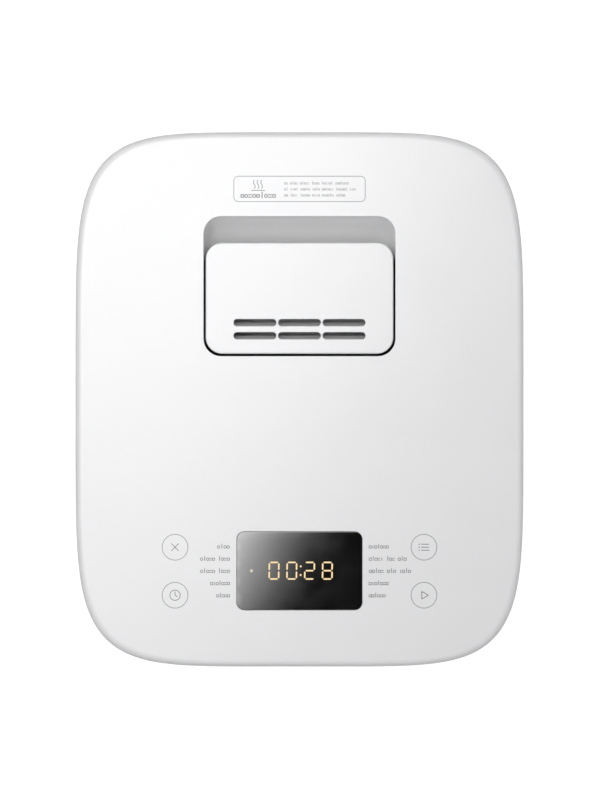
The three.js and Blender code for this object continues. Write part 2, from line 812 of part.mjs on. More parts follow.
// The inner face of the back wall at the hinge's height.
function backWallAt(x) {
  const inset = bodyInset(hingeZ) + wall;
  const share = 1 - (x / (halfWidth - inset)) ** cornerExponent;
  return (halfDepth - inset) * share ** (1 / cornerExponent);
}

const hingeShaft = barX(hingePinRadius, -earEnd - 1.5, earEnd + 1.5, hingeY, hingeZ);
add(body, "hinge_shaft", hingeShaft, steel);
for (const [place, side] of [["left", -1], ["right", 1]]) {
  const spanX = (near, far) => [Math.min(side * near, side * far), Math.max(side * near, side * far)];
  const earTop = deckBottom - touch;
  const tabEnd = earEnd + tabLength;
  const ear = box(spanX(earStart, earEnd), [earFront, backWallAt(earEnd) - 1.2], [earBottom, earTop]);
  const tab = box(spanX(earStart, tabEnd), [earFront, backWallAt(tabEnd) - 1.2], [earTop - 3, earTop]);
  const bore = barX(hingePinRadius + touch, -halfWidth, halfWidth, hingeY, hingeZ);
  add(body, `hinge_bracket_${place}`, join(ear, tab).subtract(bore), galvanised);
  const springShape = coil(springRadius, springStart, springEnd, 6, springWire);
  const spring = new THREE.Mesh(geometryOf(springShape), steel);
  spring.name = `hinge_spring_${place}`;
  spring.rotation.y = (side * Math.PI) / 2;
  spring.position.set(0, hingeY, hingeZ);
  body.add(spring);
}

// The block moulded under the lid's rear edge that turns on the shaft.
function hingeBlock() {
  const z = hingeZ - lidBottom; // in the lid's own frame
  const front = hingeY - hingeRadius;
  const rearTop = -gap;
  const profile = new THREE.Shape();
  profile.moveTo(front, frameRise - touch);
  profile.lineTo(front, z);
  profile.absarc(hingeY, z, hingeRadius, Math.PI, 2 * Math.PI, false);
  profile.lineTo(hingeY + hingeRadius, rearTop);
  profile.lineTo(halfDepth - wall - 1, rearTop);
  profile.lineTo(halfDepth - wall - 1, frameRise - touch);
  profile.closePath();
  const block = alongX(profile, -hingeHalfWidth, hingeHalfWidth, 8);
  const bore = barX(hingePinRadius + touch, -hingeHalfWidth - 1, hingeHalfWidth + 1, hingeY, z);
  const pockets = [-1, 1].map((side) => {
    const ends = [side * (springStart - 1), side * (springEnd + 1)].sort((a, b) => a - b);
    const roomY = [front - 1, hingeY + springRadius + 1.2];
    const roomZ = [z - hingeRadius - 1, z + springRadius + 1.2];
    return box(ends, roomY, roomZ);
  });
  return cut(block, bore, ...pockets);
}

add(lid, "hinge_block", hingeBlock(), glossWhite);

// ---- Lid shell ----------------------------------------------------------------------------------

// How far the lid's top falls below its middle.
function crownDrop(x, y) {
  return crown * ((x / halfWidth) ** 2 + (y / halfDepth) ** 2);
}

// The solid that the lid's outside encloses, shrunk by an amount at the sides and lowered at the top.
function lidSolid(inset, lowered, bottom) {
  const steps = 3;
  const round = Math.max(lidRound - inset, 1);
  const top = (below) => (x, y) => lidHeight - lowered - crownDrop(x, y) - below;
  const arc = Array.from({ length: steps + 1 }, (_, i) => {
    const angle = (i / steps) * (Math.PI / 2);
    return outline(inset + round * (1 - Math.cos(angle)), top(round * (1 - Math.sin(angle))));
  });
  const crownRing = outline(inset + round + 0.45 * (halfWidth - round), top(0));
  return skinned([outline(inset, bottom), ...arc, crownRing], bottom, lidHeight - lowered);
}

const lidInner = lidSolid(wall, wall, -1);
const lidScrewX = footX + 4;
const lidScrewY = footY + 4;
const frameTop = frameRise + frameThickness;
const lidScrewPlaces = footPlaces.map(([place, sideX, sideY]) => [
  place,
  sideX * lidScrewX,
  sideY * lidScrewY,
]);
const wellShape = roundedRectangle(wellWidth, wellLength, wellCorner, 0, wellBack - wellLength / 2);
const windowShape = (grown) =>
  roundedRectangle(windowWidth + 2 * grown, windowLength + 2 * grown, windowCorner + grown, 0, windowY);
const windowLedge = 3;
const boardLevel = lidHeight - boardDrop;

// Moulded cover: screw bosses, a stepped seat for the window, posts for the board, the well's hole.
function lidCover() {
  const shell = lidSolid(0, 0, 0).subtract(lidInner);
  const boss = disc(bossRadius, frameTop + touch, lidHeight, 10);
  const bosses = lidScrewPlaces.map(([, x, y]) => moved(boss, x, y));
  const posts = [-keyX + 11, keyX - 11].map((x) =>
    moved(disc(3, boardLevel + touch, lidHeight, 8), x, windowY + keyRows[0] + boardMargin - 4),
  );
  const seat = upright(windowShape(windowLedge), boardLevel + 8, lidHeight, 3)
    .intersect(lidSolid(wall, wall - 0.5, 0))
    .subtract(lidSolid(wall, wall + windowThickness, -1));
  const fitted = join(...bosses, ...posts).intersect(lidSolid(wall / 2, wall / 2, -1));
  const bossHole = disc(screwRadius + touch, 0, frameTop + 16, 8);
  const bossHoles = lidScrewPlaces.map(([, x, y]) => moved(bossHole, x, y));
  const windowPocket = upright(windowShape(touch), 0, lidHeight + 1, 3).subtract(
    lidSolid(1, windowThickness + touch, -2),
  );
  const windowHole = upright(windowShape(-windowLedge), boardLevel, lidHeight + 1, 3);
  const wellHole = upright(wellShape, boardLevel, lidHeight + 1, 4);
  return cut(join(shell, fitted, seat), ...bossHoles, windowPocket, windowHole, wellHole);
}

add(lid, "lid_cover", lidCover(), glossWhite);

const lidScrew = turned(
  [
    [0, frameRise - 2],
    [screwHeadRadius, frameRise - 2],
    [screwHeadRadius, frameRise - touch],
    [screwRadius, frameRise - touch],
    [screwRadius, frameTop + 13],
    [0, frameTop + 13],
  ],
  8,
);
for (const [place, x, y] of lidScrewPlaces) add(lid, `lid_screw_${place}`, lidScrew, steel, x, y);

// ---- Lid frame ----------------------------------------------------------------------------------

const innerLidRadius = potRadius + 2;
const innerLidFlat = innerLidRadius - 42; // radius of its flat middle
const clipNoseZ = [panRise - 6, panRise - 4.6];
const clipHalf = 9;
const clipFront = potShift - panInside - 15;
const clipTravel = 2.5;
const sensorPlace = [18 - innerLidFlat, potShift];

// The moulded underside of the lid: a flat border round a pan that takes the inner lid.
function lidFrame() {
  const border = plate(wall + gap, frameRise, frameTop);
  const pan = moved(disc(panInside + panWall, frameRise, panTop, roundSides), 0, potShift);
  const room = moved(disc(panInside, frameRise - 1, panRise, roundSides), 0, potShift);
  const valveHole = moved(disc(tubeRadius + 0.6, 0, panTop + 1), 0, valveY);
  const sensorSeat = moved(disc(5 + gap, 0, panTop + 1, 12), ...sensorPlace);
  const hookSlot = box(
    [-channelHalf, channelHalf],
    [leverFront - hookReach - 1, leverBack + 8],
    [0, frameTop + 1],
  );
  const clipSlot = box(
    [-clipHalf + 1.5, clipHalf - 1.5],
    [clipFront + 1 - clipTravel, clipFront + 10],
    [0, frameTop + 1],
  );
  const noseSlot = box(
    [-clipHalf + 1.5, clipHalf - 1.5],
    [clipFront, potShift - panInside + 3],
    [clipNoseZ[0] - gap, clipNoseZ[1] + gap],
  );
  const screwHole = disc(screwRadius + touch, 0, frameTop + 1, 8);
  const screwHoles = lidScrewPlaces.map(([, x, y]) => moved(screwHole, x, y));
  const tools = [room, valveHole, sensorSeat, hookSlot, clipSlot, noseSlot, ...screwHoles];
  return cut(join(border, pan), ...tools);
}

add(lid, "lid_frame", lidFrame(), satinWhite);

// Spring-steel plate over the hook slot, with the window that the hook holds by its front edge.
const catchPlate = box(
  [-24, 24],
  [leverFront - 8, leverBack + 13],
  [frameTop + touch, frameTop + touch + 2],
);
const catchWindow = box(
  [-leverHalfWidth - 0.8, leverHalfWidth + 0.8],
  [leverFront - 0.8, leverBack + 7],
  [frameTop, frameTop + 3],
);
add(lid, "lid_catch", catchPlate.subtract(catchWindow), steel);

// Thumb slide whose nose holds the inner lid's lug.
const innerLidClip = join(
  box([-clipHalf, clipHalf], [clipFront, clipFront + 10.5], [frameTop + touch, clipNoseZ[1]]),
  box([-clipHalf + 2, clipHalf - 2], [clipFront + 9, potShift - panInside + 9.2], clipNoseZ),
  box([-clipHalf + 2, clipHalf - 2], [clipFront + 2, clipFront + 8], [frameRise - 0.4, frameTop + 1]),
);
add(lid, "inner_lid_clip", innerLidClip, greyPlastic);

// Small probe through the pan that rests on the inner lid.
const lidSensor = turned(
  [
    [0, panRise - 5.3],
    [4, panRise - 5.3],
    [5, panRise - 4],
    [5, panTop + touch],
    [8, panTop + touch],
    [8, panTop + 2],
    [4, panTop + 5],
    [0, panTop + 5],
  ],
  12,
);
add(lid, "lid_sensor", lidSensor, aluminium, ...sensorPlace);

// ---- Inner lid ----------------------------------------------------------------------------------

const flangeLevel = flangeTop - lidBottom; // top of the pot's rim, in the lid's frame
const gasketBottom = flangeLevel + touch;
const innerEdge = gasketBottom + 2.3;
const domeTop = panRise - 5.6;
const gasketInside = potRadius - 1;
const gasketOutside = flangeRadius - 0.2;

// Detachable aluminium disc, domed, with a steam hole and two lugs that the pan holds.
function innerLid() {
  const sheet = moved(
    turned([
      [0, domeTop - innerLidSheet],
      [innerLidFlat, domeTop - innerLidSheet],
      [innerLidRadius - 9, innerEdge],
      [innerLidRadius, innerEdge],
      [innerLidRadius, innerEdge + innerLidSheet],
      [innerLidRadius - 9.4, innerEdge + innerLidSheet],
      [innerLidFlat - 0.4, domeTop],
      [0, domeTop],
    ]),
    0,
    potShift,
  );
  const lugs = [-1, 1].map((side) => {
    const near = innerLidRadius - 16;
    const reachOut = panInside - (side < 0 ? 7 : 1);
    const between = (from, to) => [from, to].map((r) => potShift + side * r).sort((a, b) => a - b);
    const stem = box([-6, 6], between(near, near + 2), [innerEdge + 1, clipNoseZ[1] + 2.2]);
    const shelf = box([-6, 6], between(near, reachOut), [clipNoseZ[1] + 0.6, clipNoseZ[1] + 2.2]);
    return join(stem, shelf);
  });
  const steamHole = moved(disc(7, -5, panRise), 0, valveY);
  return join(sheet, ...lugs).subtract(steamHole);
}

add(lid, "inner_lid", innerLid(), aluminium);

// Silicone ring gripping the inner lid's edge and pressing on the pot's rim.
const gasket = turned([
  [gasketInside, gasketBottom],
  [gasketOutside - 1, gasketBottom],
  [gasketOutside, gasketBottom + 1.5],
  [gasketOutside, innerEdge + innerLidSheet + 1.6],
  [gasketInside, innerEdge + innerLidSheet + 1.6],
  [gasketInside, innerEdge + innerLidSheet + touch],
  [innerLidRadius + touch, innerEdge + innerLidSheet + touch],
  [innerLidRadius + touch, innerEdge - touch],
  [gasketInside, innerEdge - touch],
]);
add(lid, "inner_lid_gasket", gasket, silicone, 0, potShift);

// ---- Steam well and valve -----------------------------------------------------------------------

const sealOutside = tubeRadius + touch + sealThickness;
const wellTop = lidSolid(wall + touch, wall + touch, -1);

// Tray under the lid's opening, with a slope behind the cap for a finger.
function steamWell() {
  const centre = wellBack - wellLength / 2;
  const shape = (grown) =>
    roundedRectangle(wellWidth + 2 * grown, wellLength + 2 * grown, wellCorner + grown, 0, centre);
  const outer = upright(shape(wellWall), wellFloor - wellWall, lidHeight, 4).intersect(wellTop);
  const room = upright(shape(0), wellFloor, lidHeight + 1, 4);
  const scoopTop = lidHeight - wall - crown - 2;
  const scoop = alongX(
    polygon([
      [capBack - 3, wellFloor - 0.5],
      [wellBack + 0.5, wellFloor - 0.5],
      [wellBack + 0.5, scoopTop],
      [capBack - 3, Math.min(wellFloor + 4, capSkirtBottom - 3)],
    ]),
    -wellWidth / 2,
    wellWidth / 2,
  ).intersect(upright(shape(0.5), 0, lidHeight, 4));
  const hole = moved(disc(sealOutside + 0.5, 0, wellFloor + 1, 20), 0, valveY);
  return cut(join(outer.subtract(room), scoop), hole);
}

add(lid, "steam_well", steamWell(), greyPlastic);

const capLength = capBack - capFront;
const capOuter = wellWidth - 2 * capSideGap;
const capCorner = wellCorner - 0.5;
const capShape = (inset) => {
  const corner = Math.max(capCorner - inset, 0.5);
  return roundedRectangle(capOuter - 2 * inset, capLength - 2 * inset, corner, 0, valveY);
};
const cupInset = capWall + 1.2;
const cupBottom = wellFloor + touch;
const cupTop = lidHeight - capWall - crown - 1;
const cupWall = 1.8;
const ballSeat = cupBottom + cupWall;
const ballCentre = ballSeat + Math.sqrt(ballRadius ** 2 - (tubeRadius - tubeWall) ** 2) + touch;

// Cap with its rows of steam slots; its top carries on the lid's crown.
function steamCap() {
  const block = upright(capShape(0), capSkirtBottom, lidHeight + 1, 3).intersect(lidSolid(0.2, 0, 0));
  const room = upright(capShape(capWall), capSkirtBottom - 1, lidHeight + 1, 3).intersect(
    lidSolid(1, capWall, -1),
  );
  const slots = slotRows.flatMap((row) =>
    [-slotPitch, 0, slotPitch].map((x) =>
      upright(
        roundedRectangle(slotLength, slotHeight, slotHeight / 2 - 0.05, x, capFront + row),
        capSkirtBottom,
        lidHeight + 1,
        2,
      ),
    ),
  );
  return cut(block, room, ...slots);
}

// Cup that catches the boiled-over starch, with the tube that plugs into the pan.
function steamCup() {
  const block = upright(capShape(cupInset), cupBottom, cupTop, 3);
  const room = upright(capShape(cupInset + cupWall), ballSeat, cupTop + 1, 3);
  const tubeOuter = moved(disc(tubeRadius, panRise - 1, cupBottom + 1), 0, valveY);
  const bore = moved(disc(tubeRadius - tubeWall, panRise - 2, ballSeat + 1), 0, valveY);
  return cut(join(block, tubeOuter), room, bore);
}

const inValve = (solid) => moved(solid, 0, -valveY);
add(valve, "steam_cap", inValve(steamCap()), glossWhite);
add(valve, "steam_cup", inValve(steamCup()), greyPlastic);
const seal = ring(tubeRadius + touch, sealOutside, panTop + touch, cupBottom - touch, smallSides);
add(valve, "steam_seal", seal, silicone);
const ball = solidOf(new THREE.SphereGeometry(ballRadius, 14, 10));
add(valve, "steam_ball", ball, silicone, 0, 0, ballCentre);

// ---- Display and touch keys ---------------------------------------------------------------------

const displayWindow = upright(windowShape(0), 0, lidHeight + 1, 3)
  .intersect(lidSolid(0.2, 0, 0))
  .subtract(lidSolid(1, windowThickness, -1));
const boardHalfX = keyX + boardMargin;
const boardFront = windowY + keyRows[1] - boardMargin;
const boardRear = windowY + keyRows[0] + boardMargin;
const displayBoard = upright(
  boardShape(-boardHalfX, boardHalfX, boardFront, boardRear),
  boardLevel - boardThickness,
  boardLevel,
  2,
);
const digitModule = box(
  [-windowWidth / 2 + 8, windowWidth / 2 - 8],
  [windowY - 10, windowY + 10],
  [boardLevel + touch, boardLevel + 7.5],
);
add(lid, "display_window", displayWindow, smokedWindow);
add(lid, "display_board", displayBoard, circuitBoard);
add(lid, "digit_module", digitModule, blackPlastic);
for (const [side, x] of [["left", -keyX], ["right", keyX]]) {
  for (const [row, y] of [["rear", keyRows[0]], ["front", keyRows[1]]]) {
    const top = lidHeight - wall - crownDrop(x, windowY + y) - 2 * touch;
    const spring = coil(5, boardLevel + touch, top, 3, 0.9);
    add(lid, `touch_spring_${side}_${row}`, spring, steel, x, windowY + y);
  }
}

export default cooker;
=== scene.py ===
import math
from bisect import bisect

import bmesh
import bpy
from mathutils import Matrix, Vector
from mathutils.geometry import delaunay_2d_cdt


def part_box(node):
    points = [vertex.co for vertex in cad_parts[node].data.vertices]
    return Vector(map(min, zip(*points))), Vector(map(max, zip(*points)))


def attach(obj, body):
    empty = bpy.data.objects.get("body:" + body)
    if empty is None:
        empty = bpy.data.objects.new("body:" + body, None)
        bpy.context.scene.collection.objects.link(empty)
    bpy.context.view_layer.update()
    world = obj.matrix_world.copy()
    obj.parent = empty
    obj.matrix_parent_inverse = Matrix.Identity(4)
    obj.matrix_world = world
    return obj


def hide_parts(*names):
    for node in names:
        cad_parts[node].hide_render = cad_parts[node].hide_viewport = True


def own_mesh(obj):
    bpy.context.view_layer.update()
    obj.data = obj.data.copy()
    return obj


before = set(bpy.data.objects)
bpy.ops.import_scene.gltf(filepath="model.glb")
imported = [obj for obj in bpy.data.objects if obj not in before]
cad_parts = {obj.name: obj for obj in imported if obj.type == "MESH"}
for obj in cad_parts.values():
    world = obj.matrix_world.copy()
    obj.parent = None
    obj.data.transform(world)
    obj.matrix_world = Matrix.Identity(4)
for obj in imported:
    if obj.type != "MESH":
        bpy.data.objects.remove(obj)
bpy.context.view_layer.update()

MM = 0.001


# ---- Camera ----
# Straight above the cooker, with its display at the bottom of the picture, far enough away that the
# body hides under the lid. The lens makes the picture 482 mm tall at the lid's widest outline.


class Room:
    """The box that a part fills: its low and high corners, its middle and its size."""

    def __init__(self, node):
        self.low, self.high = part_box(node)
        self.x, self.y, self.z = [(a + b) / 2 for a, b in zip(self.low, self.high)]
        self.size = [b - a for a, b in zip(self.low, self.high)]


def placed(name, data):
    """A new object, put in the scene."""
    thing = bpy.data.objects.new(name, data)
    bpy.context.scene.collection.objects.link(thing)
    return thing


CAMERA_HEIGHT = 4.0
PICTURE_HEIGHT = 0.482
SENSOR_WIDTH = 36.0
lid = Room("lid_cover")
outline_height = lid.high.z - 6 * MM
camera = placed("camera", bpy.data.cameras.new("camera"))
bpy.context.scene.camera = camera
camera.location = (0.0003, -0.0004, outline_height + CAMERA_HEIGHT)
camera.data.sensor_width = SENSOR_WIDTH
camera.data.lens = SENSOR_WIDTH * CAMERA_HEIGHT / PICTURE_HEIGHT
camera.data.clip_end = 50.0


# ---- Finishes ----
# The studio floor is the first thing with a finish, so the shader classes stand here. A Field is a
# socket's value, and expressions on fields add their Math nodes.


class Field:
    def __init__(self, shading, socket):
        self.shading = shading
        self.socket = socket

    def math(self, operation, *others):
        return self.shading.node("ShaderNodeMath", {"operation": operation}, dict(enumerate((self, *others))))

    def __add__(self, other):
        return self.math("ADD", other)

    def __sub__(self, other):
        return self.math("SUBTRACT", other)

    def __rsub__(self, other):
        return self.math("MULTIPLY_ADD", -1.0, other)

    def __mul__(self, other):
        return self.math("MULTIPLY", other)

    def __abs__(self):
        return self.math("ABSOLUTE")

    __radd__ = __add__
    __rmul__ = __mul__


class Shading:
    """The nodes of a material or of the world, around the shader that they end in."""

    def __init__(self, owner, shader):
        owner.use_nodes = True
        self.tree = owner.node_tree
        self.shader = self.tree.nodes[shader]

    def node(self, kind, settings=None, sockets=None, output=0):
        """A node of a kind, its settings made before its sockets; a ramp takes (height, grey) stops."""
        node = self.tree.nodes.new(kind)
        for name, value in (settings or {}).items():
            if name == "stops":
                elements = node.color_ramp.elements
                node.color_ramp.interpolation = "EASE"
                for stop, (height, grey) in enumerate(value):
                    element = elements[stop] if stop < 2 else elements.new(height)
                    element.position = height
                    element.color = (grey, grey, grey * 1.01, 1.0)
            else:
                setattr(node, name, value)
        for name, value in (sockets or {}).items():
            self.feed(node.inputs[name], value)
        return Field(self, node.outputs[output])

    def feed(self, socket, value):
        if isinstance(value, Field):
            self.tree.links.new(value.socket, socket)
        elif isinstance(value, tuple) and len(value) == 3 and socket.type == "RGBA":
            socket.default_value = (*value, 1.0)
        else:
            socket.default_value = value

    def put(self, name, value):
        self.feed(self.shader.inputs[name], value)
        return self

    def split(self, vector):
        """The three axes of a vector."""
        parts = self.node("ShaderNodeSeparateXYZ", None, {0: vector})
        return [Field(self, socket) for socket in parts.socket.node.outputs]


class Finish(Shading):
    """A material with one Principled shader, that keeps the name of a slot of the part. Sockets that stay the
    same all over are set by name."""

    def __init__(self, name, slot=None, **constants):
        self.slot = slot
        self.material = bpy.data.materials.new(name)
        super().__init__(self.material, "Principled BSDF")
        for socket, value in constants.items():
            self.put(socket.replace("_", " ").title().replace("Ior", "IOR"), value)

    def place(self):
        """Where a point is in the cooker's own frame, in metres."""
        return self.node("ShaderNodeTexCoord", output="Object")

    def axes(self):
        return self.split(self.place())

    def noise(self, scale, detail=2.0, roughness=0.5):
        sockets = {"Vector": self.place(), "Scale": scale, "Detail": detail, "Roughness": roughness}
        return self.node("ShaderNodeTexNoise", None, sockets)

    def mix(self, share, colour_a, colour_b):
        """Colour a where share is 0, and colour b where it is 1."""
        sockets = {"Factor": share, 6: colour_a, 7: colour_b}
        return self.node("ShaderNodeMix", {"data_type": "RGBA"}, sockets, output=2)

    def range(self, value, low, high, to_low=0.0, to_high=1.0, kind="SMOOTHSTEP"):
        sockets = {"Value": value, "From Min": low, "From Max": high, "To Min": to_low, "To Max": to_high}
        return self.node("ShaderNodeMapRange", {"interpolation_type": kind}, sockets)

    def bump(self, height, distance, strength):
        sockets = {"Height": height, "Distance": distance, "Strength": strength}
        return self.put("Normal", self.node("ShaderNodeBump", None, sockets))

    def grained(self, noise, shade_a, shade_b, bump=None, gloss=None):
        """The colour wanders between two shades with a noise of (scale, detail). The noise may also
        raise a bump of (distance, strength), and its range (low, high) may set the roughness."""
        grain = self.noise(*noise)
        self.put("Base Color", self.mix(grain, shade_a, shade_b))
        if gloss:
            self.put("Roughness", self.range(grain, *gloss))
        if bump:
            self.bump(grain, *bump)
        return self


# ---- Studio ----
# A pale floor that glows a little, as a light table does, in a bright room that is dark below the
# horizon. A large softbox hangs high to the rear left, and fades towards the front right.


def round_plan(radius, x=0.0, y=0.0, count=96):
    """A circle from above, anticlockwise."""
    turns = [math.tau * i / count for i in range(count)]
    return [(x + radius * math.cos(turn), y + radius * math.sin(turn)) for turn in turns]


def raised(outline, z):
    """The points of an outline from above, all at one height."""
    return [(x, y, z) for x, y in outline]


def staged(name, points, faces, finish):
    """A sheet that belongs to the studio."""
    mesh = bpy.data.meshes.new(name)
    mesh.from_pydata(points, [], faces)
    mesh.materials.append(finish.material)
    sheet = placed(name, mesh)
    return sheet


def square(half, z):
    return raised([(-half, -half), (half, -half), (half, half), (-half, half)], z)


pale = Finish("pale_floor", base_color=(0.35, 0.35, 0.35), roughness=0.7, emission_color=(1.0, 1.0, 1.0))
pale.put("Emission Strength", 0.9)
staged("floor", square(9, 0), [(0, 1, 2, 3)], pale)

# A ring of grey flags, out of the picture, gives the cooker's upright sides something darker to face.
FLAG_RADIUS = 0.46
FLAG_HEIGHT = 0.36
FLAG_COUNT = 48
AWAY = (0.898, 0.439)  # the light falls off this far to the right and this far to the front
card = Finish("grey_card", roughness=0.9, specular_ior_level=0.0)
across, along, _ = card.axes()
lighter = card.range(across * AWAY[0] - along * AWAY[1], -0.3, 0.45)
card.put("Base Color", card.mix(lighter, (0.12, 0.12, 0.12), (0.36, 0.36, 0.36)))
flag_ring = round_plan(FLAG_RADIUS, count=FLAG_COUNT)
nexts = [(i, (i + 1) % FLAG_COUNT) for i in range(FLAG_COUNT)]
flag_faces = [(i, j, FLAG_COUNT + j, FLAG_COUNT + i) for i, j in nexts]
flags = staged("flags", raised(flag_ring, 0.001) + raised(flag_ring, FLAG_HEIGHT), flag_faces, card)
flags.visible_camera = False

world = bpy.data.worlds.new("studio")
bpy.context.scene.world = world
sky = Shading(world, "Background")
upward = sky.split(sky.node("ShaderNodeTexCoord", output="Generated"))[2]
stops = [(0.0, 0.08), (0.25, 0.25), (0.5, 1.0), (0.9, 1.0)]
sky.put("Color", sky.node("ShaderNodeValToRGB", {"stops": stops}, {0: upward}))

# The softbox is two sheets: one lights the surfaces, and one is what the glossy faces mirror.
SOFTBOX_HEIGHT = 1.25
SOFTBOX_HALF = 0.85
for name, lights, strength, full_at in [("softbox", True, 4.4, 0.06), ("softbox_sheen", False, 8.9, 0.20)]:
    glow = Finish(name + "_glow", base_color=(0.0, 0.0, 0.0), roughness=1.0, specular_ior_level=0.0)
    across, along, _ = glow.axes()
    forward, sideways = across * AWAY[0] - along * AWAY[1], across * AWAY[1] + along * AWAY[0]
    edge = glow.range(forward, -0.008, 0.090, 1.0, 0.0, "LINEAR")
    falloff = edge * edge * glow.range(forward, -0.75, -0.40)
    falloff = falloff * glow.range(abs(sideways), 0.36, 0.62, 1.0, 0.0)
    falloff = falloff * glow.range(along, -0.17, full_at, 0.45, 1.0)
    glow.put("Emission Color", glow.mix(falloff, (0.001, 0.001, 0.001), (1.0, 1.0, 1.0)))
    glow.put("Emission Strength", strength)
    sheet = staged(name, square(SOFTBOX_HALF, SOFTBOX_HEIGHT), [(3, 2, 1, 0)], glow)
    sheet.visible_camera = sheet.visible_shadow = False
    sheet.visible_diffuse = lights
    sheet.visible_glossy = not lights

bpy.context.scene.view_settings.view_transform = "Standard"
bpy.context.scene.view_settings.look = "None"


# ---- Lid cover ----
# One injection-moulded shell in gloss white, its plan a rounded rectangle with soft sides. The top
# is slightly crowned and rolls over into an upright wall. The window and the valve sit in openings.

CORNER_POWER = 5.5
HALF_WIDTH, HALF_DEPTH, LID_TOP = lid.high
CROWN = 1.6 * MM
EDGE_ROUND = 4 * MM
LID_WALL = 2.6 * MM


def on_outline(turn, inset):
    """The point at an angle on the cooker's outline from above, drawn in by inset."""
    x, y = math.cos(turn), math.sin(turn)
    spread = abs(x / (HALF_WIDTH - inset)) ** CORNER_POWER + abs(y / (HALF_DEPTH - inset)) ** CORNER_POWER
    reach = spread ** (-1 / CORNER_POWER)
    return reach * x, reach * y


def plan(inset=0.0, count=288):
    """The cooker's outline from above, drawn in by inset."""
    return [on_outline(math.tau * i / count, inset) for i in range(count)]


def lid_top(x, y, depth=0.0):
    """The point of the lid's crowned top over a place, or a depth below it."""
    drop = CROWN * ((x / HALF_WIDTH) ** 2 + (y / HALF_DEPTH) ** 2)
    return (x, y, LID_TOP - drop - depth)


def pad(size, radius, middle=(0.0, 0.0), steps=8, runs=1):
    """A rounded rectangle from above, anticlockwise, as a function of how far its outline is moved
    out. Each corner has so many steps, and each straight side so many runs."""

    def outline(grow=0.0):
        bend = max(radius + grow, 1e-5)
        arcs = []
        for corner, sides in enumerate([(1, 1), (-1, 1), (-1, -1), (1, -1)]):
            x, y = [m + side * (s / 2 + grow - bend) for m, side, s in zip(middle, sides, size)]
            turns = [math.pi / 2 * (corner + step / steps) for step in range(steps + 1)]
            arcs.append([(x + bend * math.cos(turn), y + bend * math.sin(turn)) for turn in turns])
        points = []
        for arc, following in zip(arcs, arcs[1:] + arcs[:1]):
            points += arc
            start, end = Vector(arc[-1]), Vector(following[0])
            points += [tuple(start.lerp(end, run / runs)) for run in range(1, runs)]
        return points

    return outline


def inside(point, loop):
    x, y = point
    crossings = False
    for (x0, y0), (x1, y1) in zip(loop, loop[1:] + loop[:1]):
        if (y0 > y) != (y1 > y) and x < x0 + (y - y0) * (x1 - x0) / (y1 - y0):
            crossings = not crossings
    return crossings


def roll(shape, place, radius, outward=False, steps=5):
    """Rings that round an edge over, from the face at the radius away from it down into the hole."""
    rings = []
    for step in range(1, steps + 1):
        angle = math.pi / 2 * step / steps
        grow = radius * (1 - math.sin(angle)) * (-1 if outward else 1)
        depth = radius * (1 - math.cos(angle))
        rings.append([place(x, y, depth) for x, y in shape(grow)])
    return rings


def fitted(shape, name, finish, body, node=None, crease=35.0):
    """Makes a closed shape an object that faces out and rides on a body, in place of a CAD node. Large
    faces set the shading at their edges, so that a small rounding doesn't tint them."""
    bmesh.ops.recalc_face_normals(shape, faces=shape.faces)
    mesh = bpy.data.meshes.new(name)
    shape.to_mesh(mesh)
    shape.free()
    mesh.shade_smooth()
    mesh.set_sharp_from_angle(angle=math.radians(crease))
    mesh.materials.append(finish.material)
    made = placed(name, mesh)
    made.modifiers.new("flats", "WEIGHTED_NORMAL").keep_sharp = True
    now = bpy.context.evaluated_depsgraph_get()
    shaded = made.evaluated_get(now)
    flat = bpy.data.meshes.new_from_object(shaded, preserve_all_data_layers=True, depsgraph=now)
    made.modifiers.clear()
    made.data = flat
    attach(made, body)
    if node:
        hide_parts(node)
    return made


